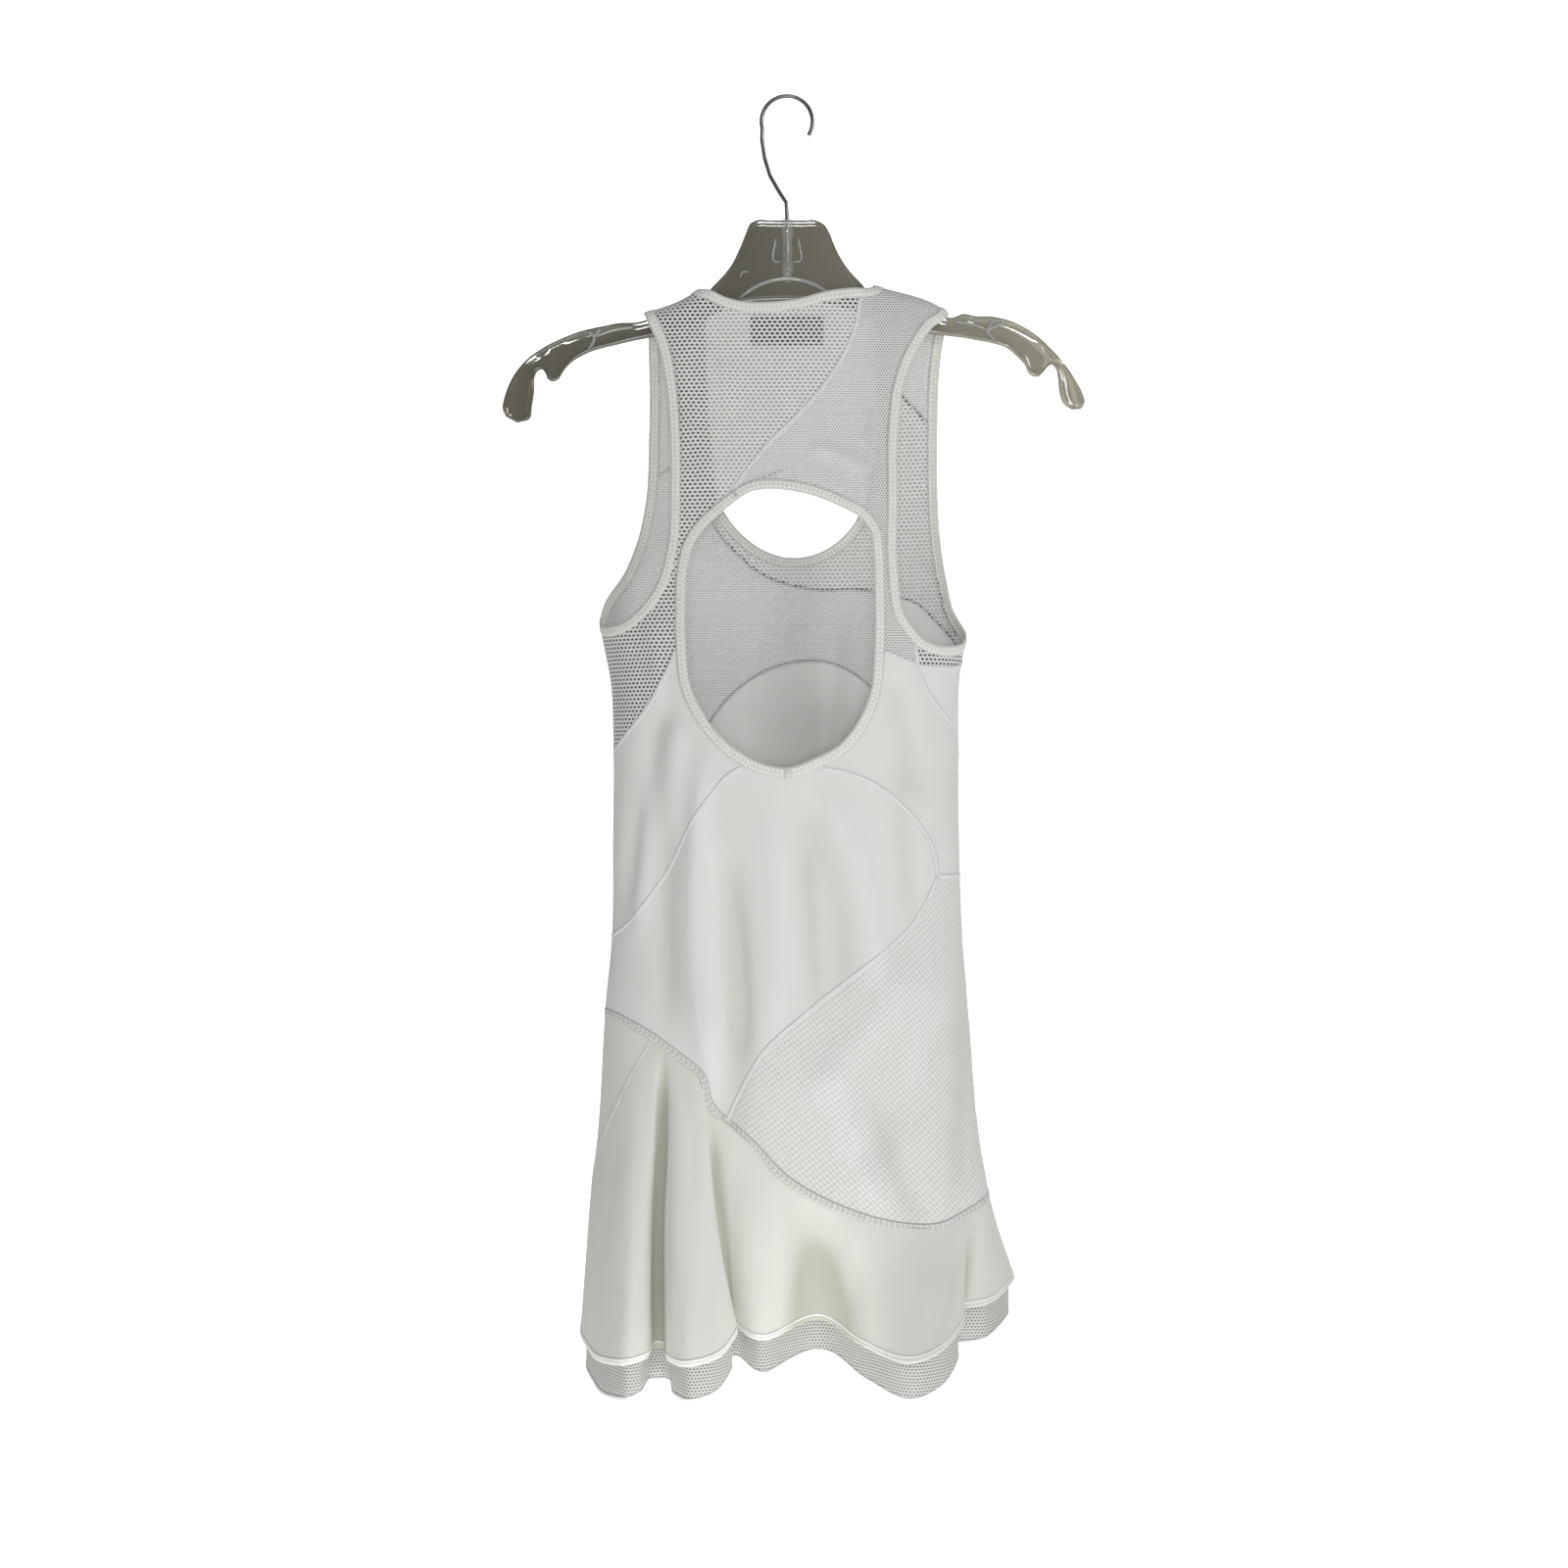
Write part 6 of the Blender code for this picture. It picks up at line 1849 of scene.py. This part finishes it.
def close_ends(item):
    """Fills the two open end loops of a closed grid."""
    work = bmesh.new()
    work.from_mesh(item.data)
    bmesh.ops.remove_doubles(work, verts=work.verts, dist=2e-5)
    edges = [edge for edge in work.edges if edge.is_boundary]
    bmesh.ops.holes_fill(work, edges=edges, sides=0)
    bmesh.ops.recalc_face_normals(work, faces=work.faces)
    work.to_mesh(item.data)
    work.free()


def set_material(item, material):
    if not item.data.materials:
        item.data.materials.append(material)
    for place in range(len(item.data.materials)):
        item.data.materials[place] = material


# ---- stage ------------------------------------------------------------------

VIEW_DISTANCE = 1.6
VIEW_WIDTH = 1.1656
VIEW_CENTRE = (-0.0022, -0.510)
FLOOR = -1.18


def seen_white(tree, socket, strength):
    """White where the camera sees it, and weaker as a light."""
    path = tree.nodes.new("ShaderNodeLightPath")
    tree.links.new(math_node(tree, "MULTIPLY_ADD",
                             path.outputs["Is Camera Ray"],
                             1.0 - strength, strength), socket)


def make_stage():
    """Pale floor that sweeps up behind, soft lights and the camera."""
    run = np.linspace(0, math.pi / 2, 16)
    back = 3.6
    bend = 0.9
    profile = [(-5.0, FLOOR), (back - bend, FLOOR)]
    profile += [(back - bend + bend * math.sin(a),
                 FLOOR + bend * (1 - math.cos(a))) for a in run]
    profile.append((back, 3.2))
    profile = np.array(profile)
    x = np.linspace(-6.0, 6.0, 3)
    points = np.stack([np.stack([np.full(len(profile), v), profile[:, 0],
                                 profile[:, 1]], -1) for v in x], 1)
    sweep = grid_object("studio_sweep", points / METRES,
                        points[..., :2] / METRES, flip=True)
    paper = bpy.data.materials.new("pale_paper")
    paper.use_nodes = True
    shader = paper.node_tree.nodes["Principled BSDF"]
    shader.inputs["Base Color"].default_value = (0.9, 0.9, 0.9, 1)
    shader.inputs["Roughness"].default_value = 0.9
    shader.inputs["Emission Color"].default_value = (1, 1, 1, 1)
    seen_white(paper.node_tree, shader.inputs["Emission Strength"], 0.35)
    sweep.data.materials.append(paper)
    world = bpy.data.worlds.new("studio")
    world.use_nodes = True
    backdrop = world.node_tree.nodes["Background"]
    backdrop.inputs[0].default_value = (1.0, 1.0, 1.0, 1)
    seen_white(world.node_tree, backdrop.inputs[1], 0.2)
    bpy.context.scene.world = world
    for name, place, size, power in LIGHTS:
        lamp = bpy.data.lights.new(name, "AREA")
        lamp.shape = "RECTANGLE"
        lamp.size, lamp.size_y = size
        lamp.energy = power
        item = bpy.data.objects.new(name, lamp)
        bpy.context.scene.collection.objects.link(item)
        item.location = place
        item.visible_camera = False
        target = np.array([0.0, 0.0, -0.5]) - np.array(place)
        flat = math.hypot(target[0], target[1])
        item.rotation_euler = (math.atan2(flat, -target[2]), 0.0,
                               math.atan2(-target[0], target[1]))
    camera = bpy.data.cameras.new("photo_view")
    camera.sensor_width = 36.0
    camera.lens = camera.sensor_width * VIEW_DISTANCE / VIEW_WIDTH
    item = bpy.data.objects.new("photo_view", camera)
    bpy.context.scene.collection.objects.link(item)
    item.location = (VIEW_CENTRE[0], -VIEW_DISTANCE, VIEW_CENTRE[1])
    item.rotation_euler = (math.pi / 2, 0.0, 0.0)
    bpy.context.scene.camera = item
    bpy.context.scene.view_settings.view_transform = "Standard"


# Lights: name, place, size, power
LIGHTS = (
    ("key", (1.15, -1.5, 0.35), (0.45, 0.6), 7.8),
    ("camera_side", (0.0, -2.1, -0.5), (0.3, 0.3), 9.6),
    ("side_right", (1.5, -0.4, 0.0), (0.4, 1.2), 0.8),
    ("top", (0.1, -0.6, 1.0), (0.6, 0.5), 1.4),
    ("floor_bounce", (0.0, -0.15, -1.16), (0.5, 0.5), 1.6),
    ("behind", (0.9, 2.1, 0.4), (0.9, 1.0), 15.0),
)


# ---- add-on -----------------------------------------------------------------

class DressLook(bpy.types.PropertyGroup):
    """Sizes and colours that a user would change."""
    cloth_colour: FloatVectorProperty(
        name="Cloth colour", description="Base colour of all the knits",
        subtype="COLOR", size=3, default=(0.80, 0.82, 0.79), min=0, max=1)
    plastic_colour: FloatVectorProperty(
        name="Plastic colour", description="Tint of the clear hanger",
        subtype="COLOR", size=3, default=(0.16, 0.153, 0.12), min=0, max=1)
    cloth_thickness: FloatProperty(
        name="Cloth thickness", description="Thickness of the visible cloth",
        unit="LENGTH", default=CLOTH * METRES, min=0.0003, max=0.002)


class DressPanels(bpy.types.Operator):
    """Builds the cut panels of the dress"""
    bl_idname = "dress.panels"
    bl_label = "Panels"

    def execute(self, context):
        make_panels()
        return {"FINISHED"}


class DressBindings(bpy.types.Operator):
    """Builds the bindings of neck, armholes and keyhole"""
    bl_idname = "dress.bindings"
    bl_label = "Bindings"

    def execute(self, context):
        make_bindings()
        make_bartack()
        return {"FINISHED"}


class DressTapes(bpy.types.Operator):
    """Builds the stitched tapes over the seams"""
    bl_idname = "dress.tapes"
    bl_label = "Seam tapes"

    def execute(self, context):
        make_tapes()
        return {"FINISHED"}


class DressFlounce(bpy.types.Operator):
    """Builds the flounce, its mesh underlayer and its hem stitching"""
    bl_idname = "dress.flounce"
    bl_label = "Flounce"

    def execute(self, context):
        make_flounces()
        make_underlayers()
        make_hem_stitches()
        make_gore_seam()
        return {"FINISHED"}


class DressLabel(bpy.types.Operator):
    """Builds the bare neck label"""
    bl_idname = "dress.label"
    bl_label = "Neck label"

    def execute(self, context):
        make_label()
        return {"FINISHED"}


class DressHanger(bpy.types.Operator):
    """Finishes the hanger and its hook"""
    bl_idname = "dress.hanger"
    bl_label = "Hanger"

    def execute(self, context):
        make_hanger(context.scene.dress_look)
        return {"FINISHED"}


class DressStage(bpy.types.Operator):
    """Sets the floor, lights and camera"""
    bl_idname = "dress.stage"
    bl_label = "Stage"

    def execute(self, context):
        make_stage()
        return {"FINISHED"}


class DressPanel(bpy.types.Panel):
    """Lists the sizes, colours and builders of the dress"""
    bl_idname = "VIEW3D_PT_dress"
    bl_label = "Dress"
    bl_space_type = "VIEW_3D"
    bl_region_type = "UI"
    bl_category = "Dress"

    def draw(self, context):
        look = context.scene.dress_look
        for name in ("cloth_colour", "plastic_colour", "cloth_thickness"):
            self.layout.prop(look, name)
        for step in STEPS:
            self.layout.operator(step.bl_idname)


STEPS = (DressPanels, DressBindings, DressTapes, DressFlounce, DressLabel,
         DressHanger, DressStage)


def register():
    for made in (DressLook, *STEPS, DressPanel):
        bpy.utils.register_class(made)
    bpy.types.Scene.dress_look = PointerProperty(type=DressLook)


def unregister():
    del bpy.types.Scene.dress_look
    for made in reversed((DressLook, *STEPS, DressPanel)):
        bpy.utils.unregister_class(made)


def main():
    register()
    for step in STEPS:
        family, name = step.bl_idname.split(".")
        getattr(getattr(bpy.ops, family), name)()
    declare_sheets()


if __name__ == "__main__":
    main()
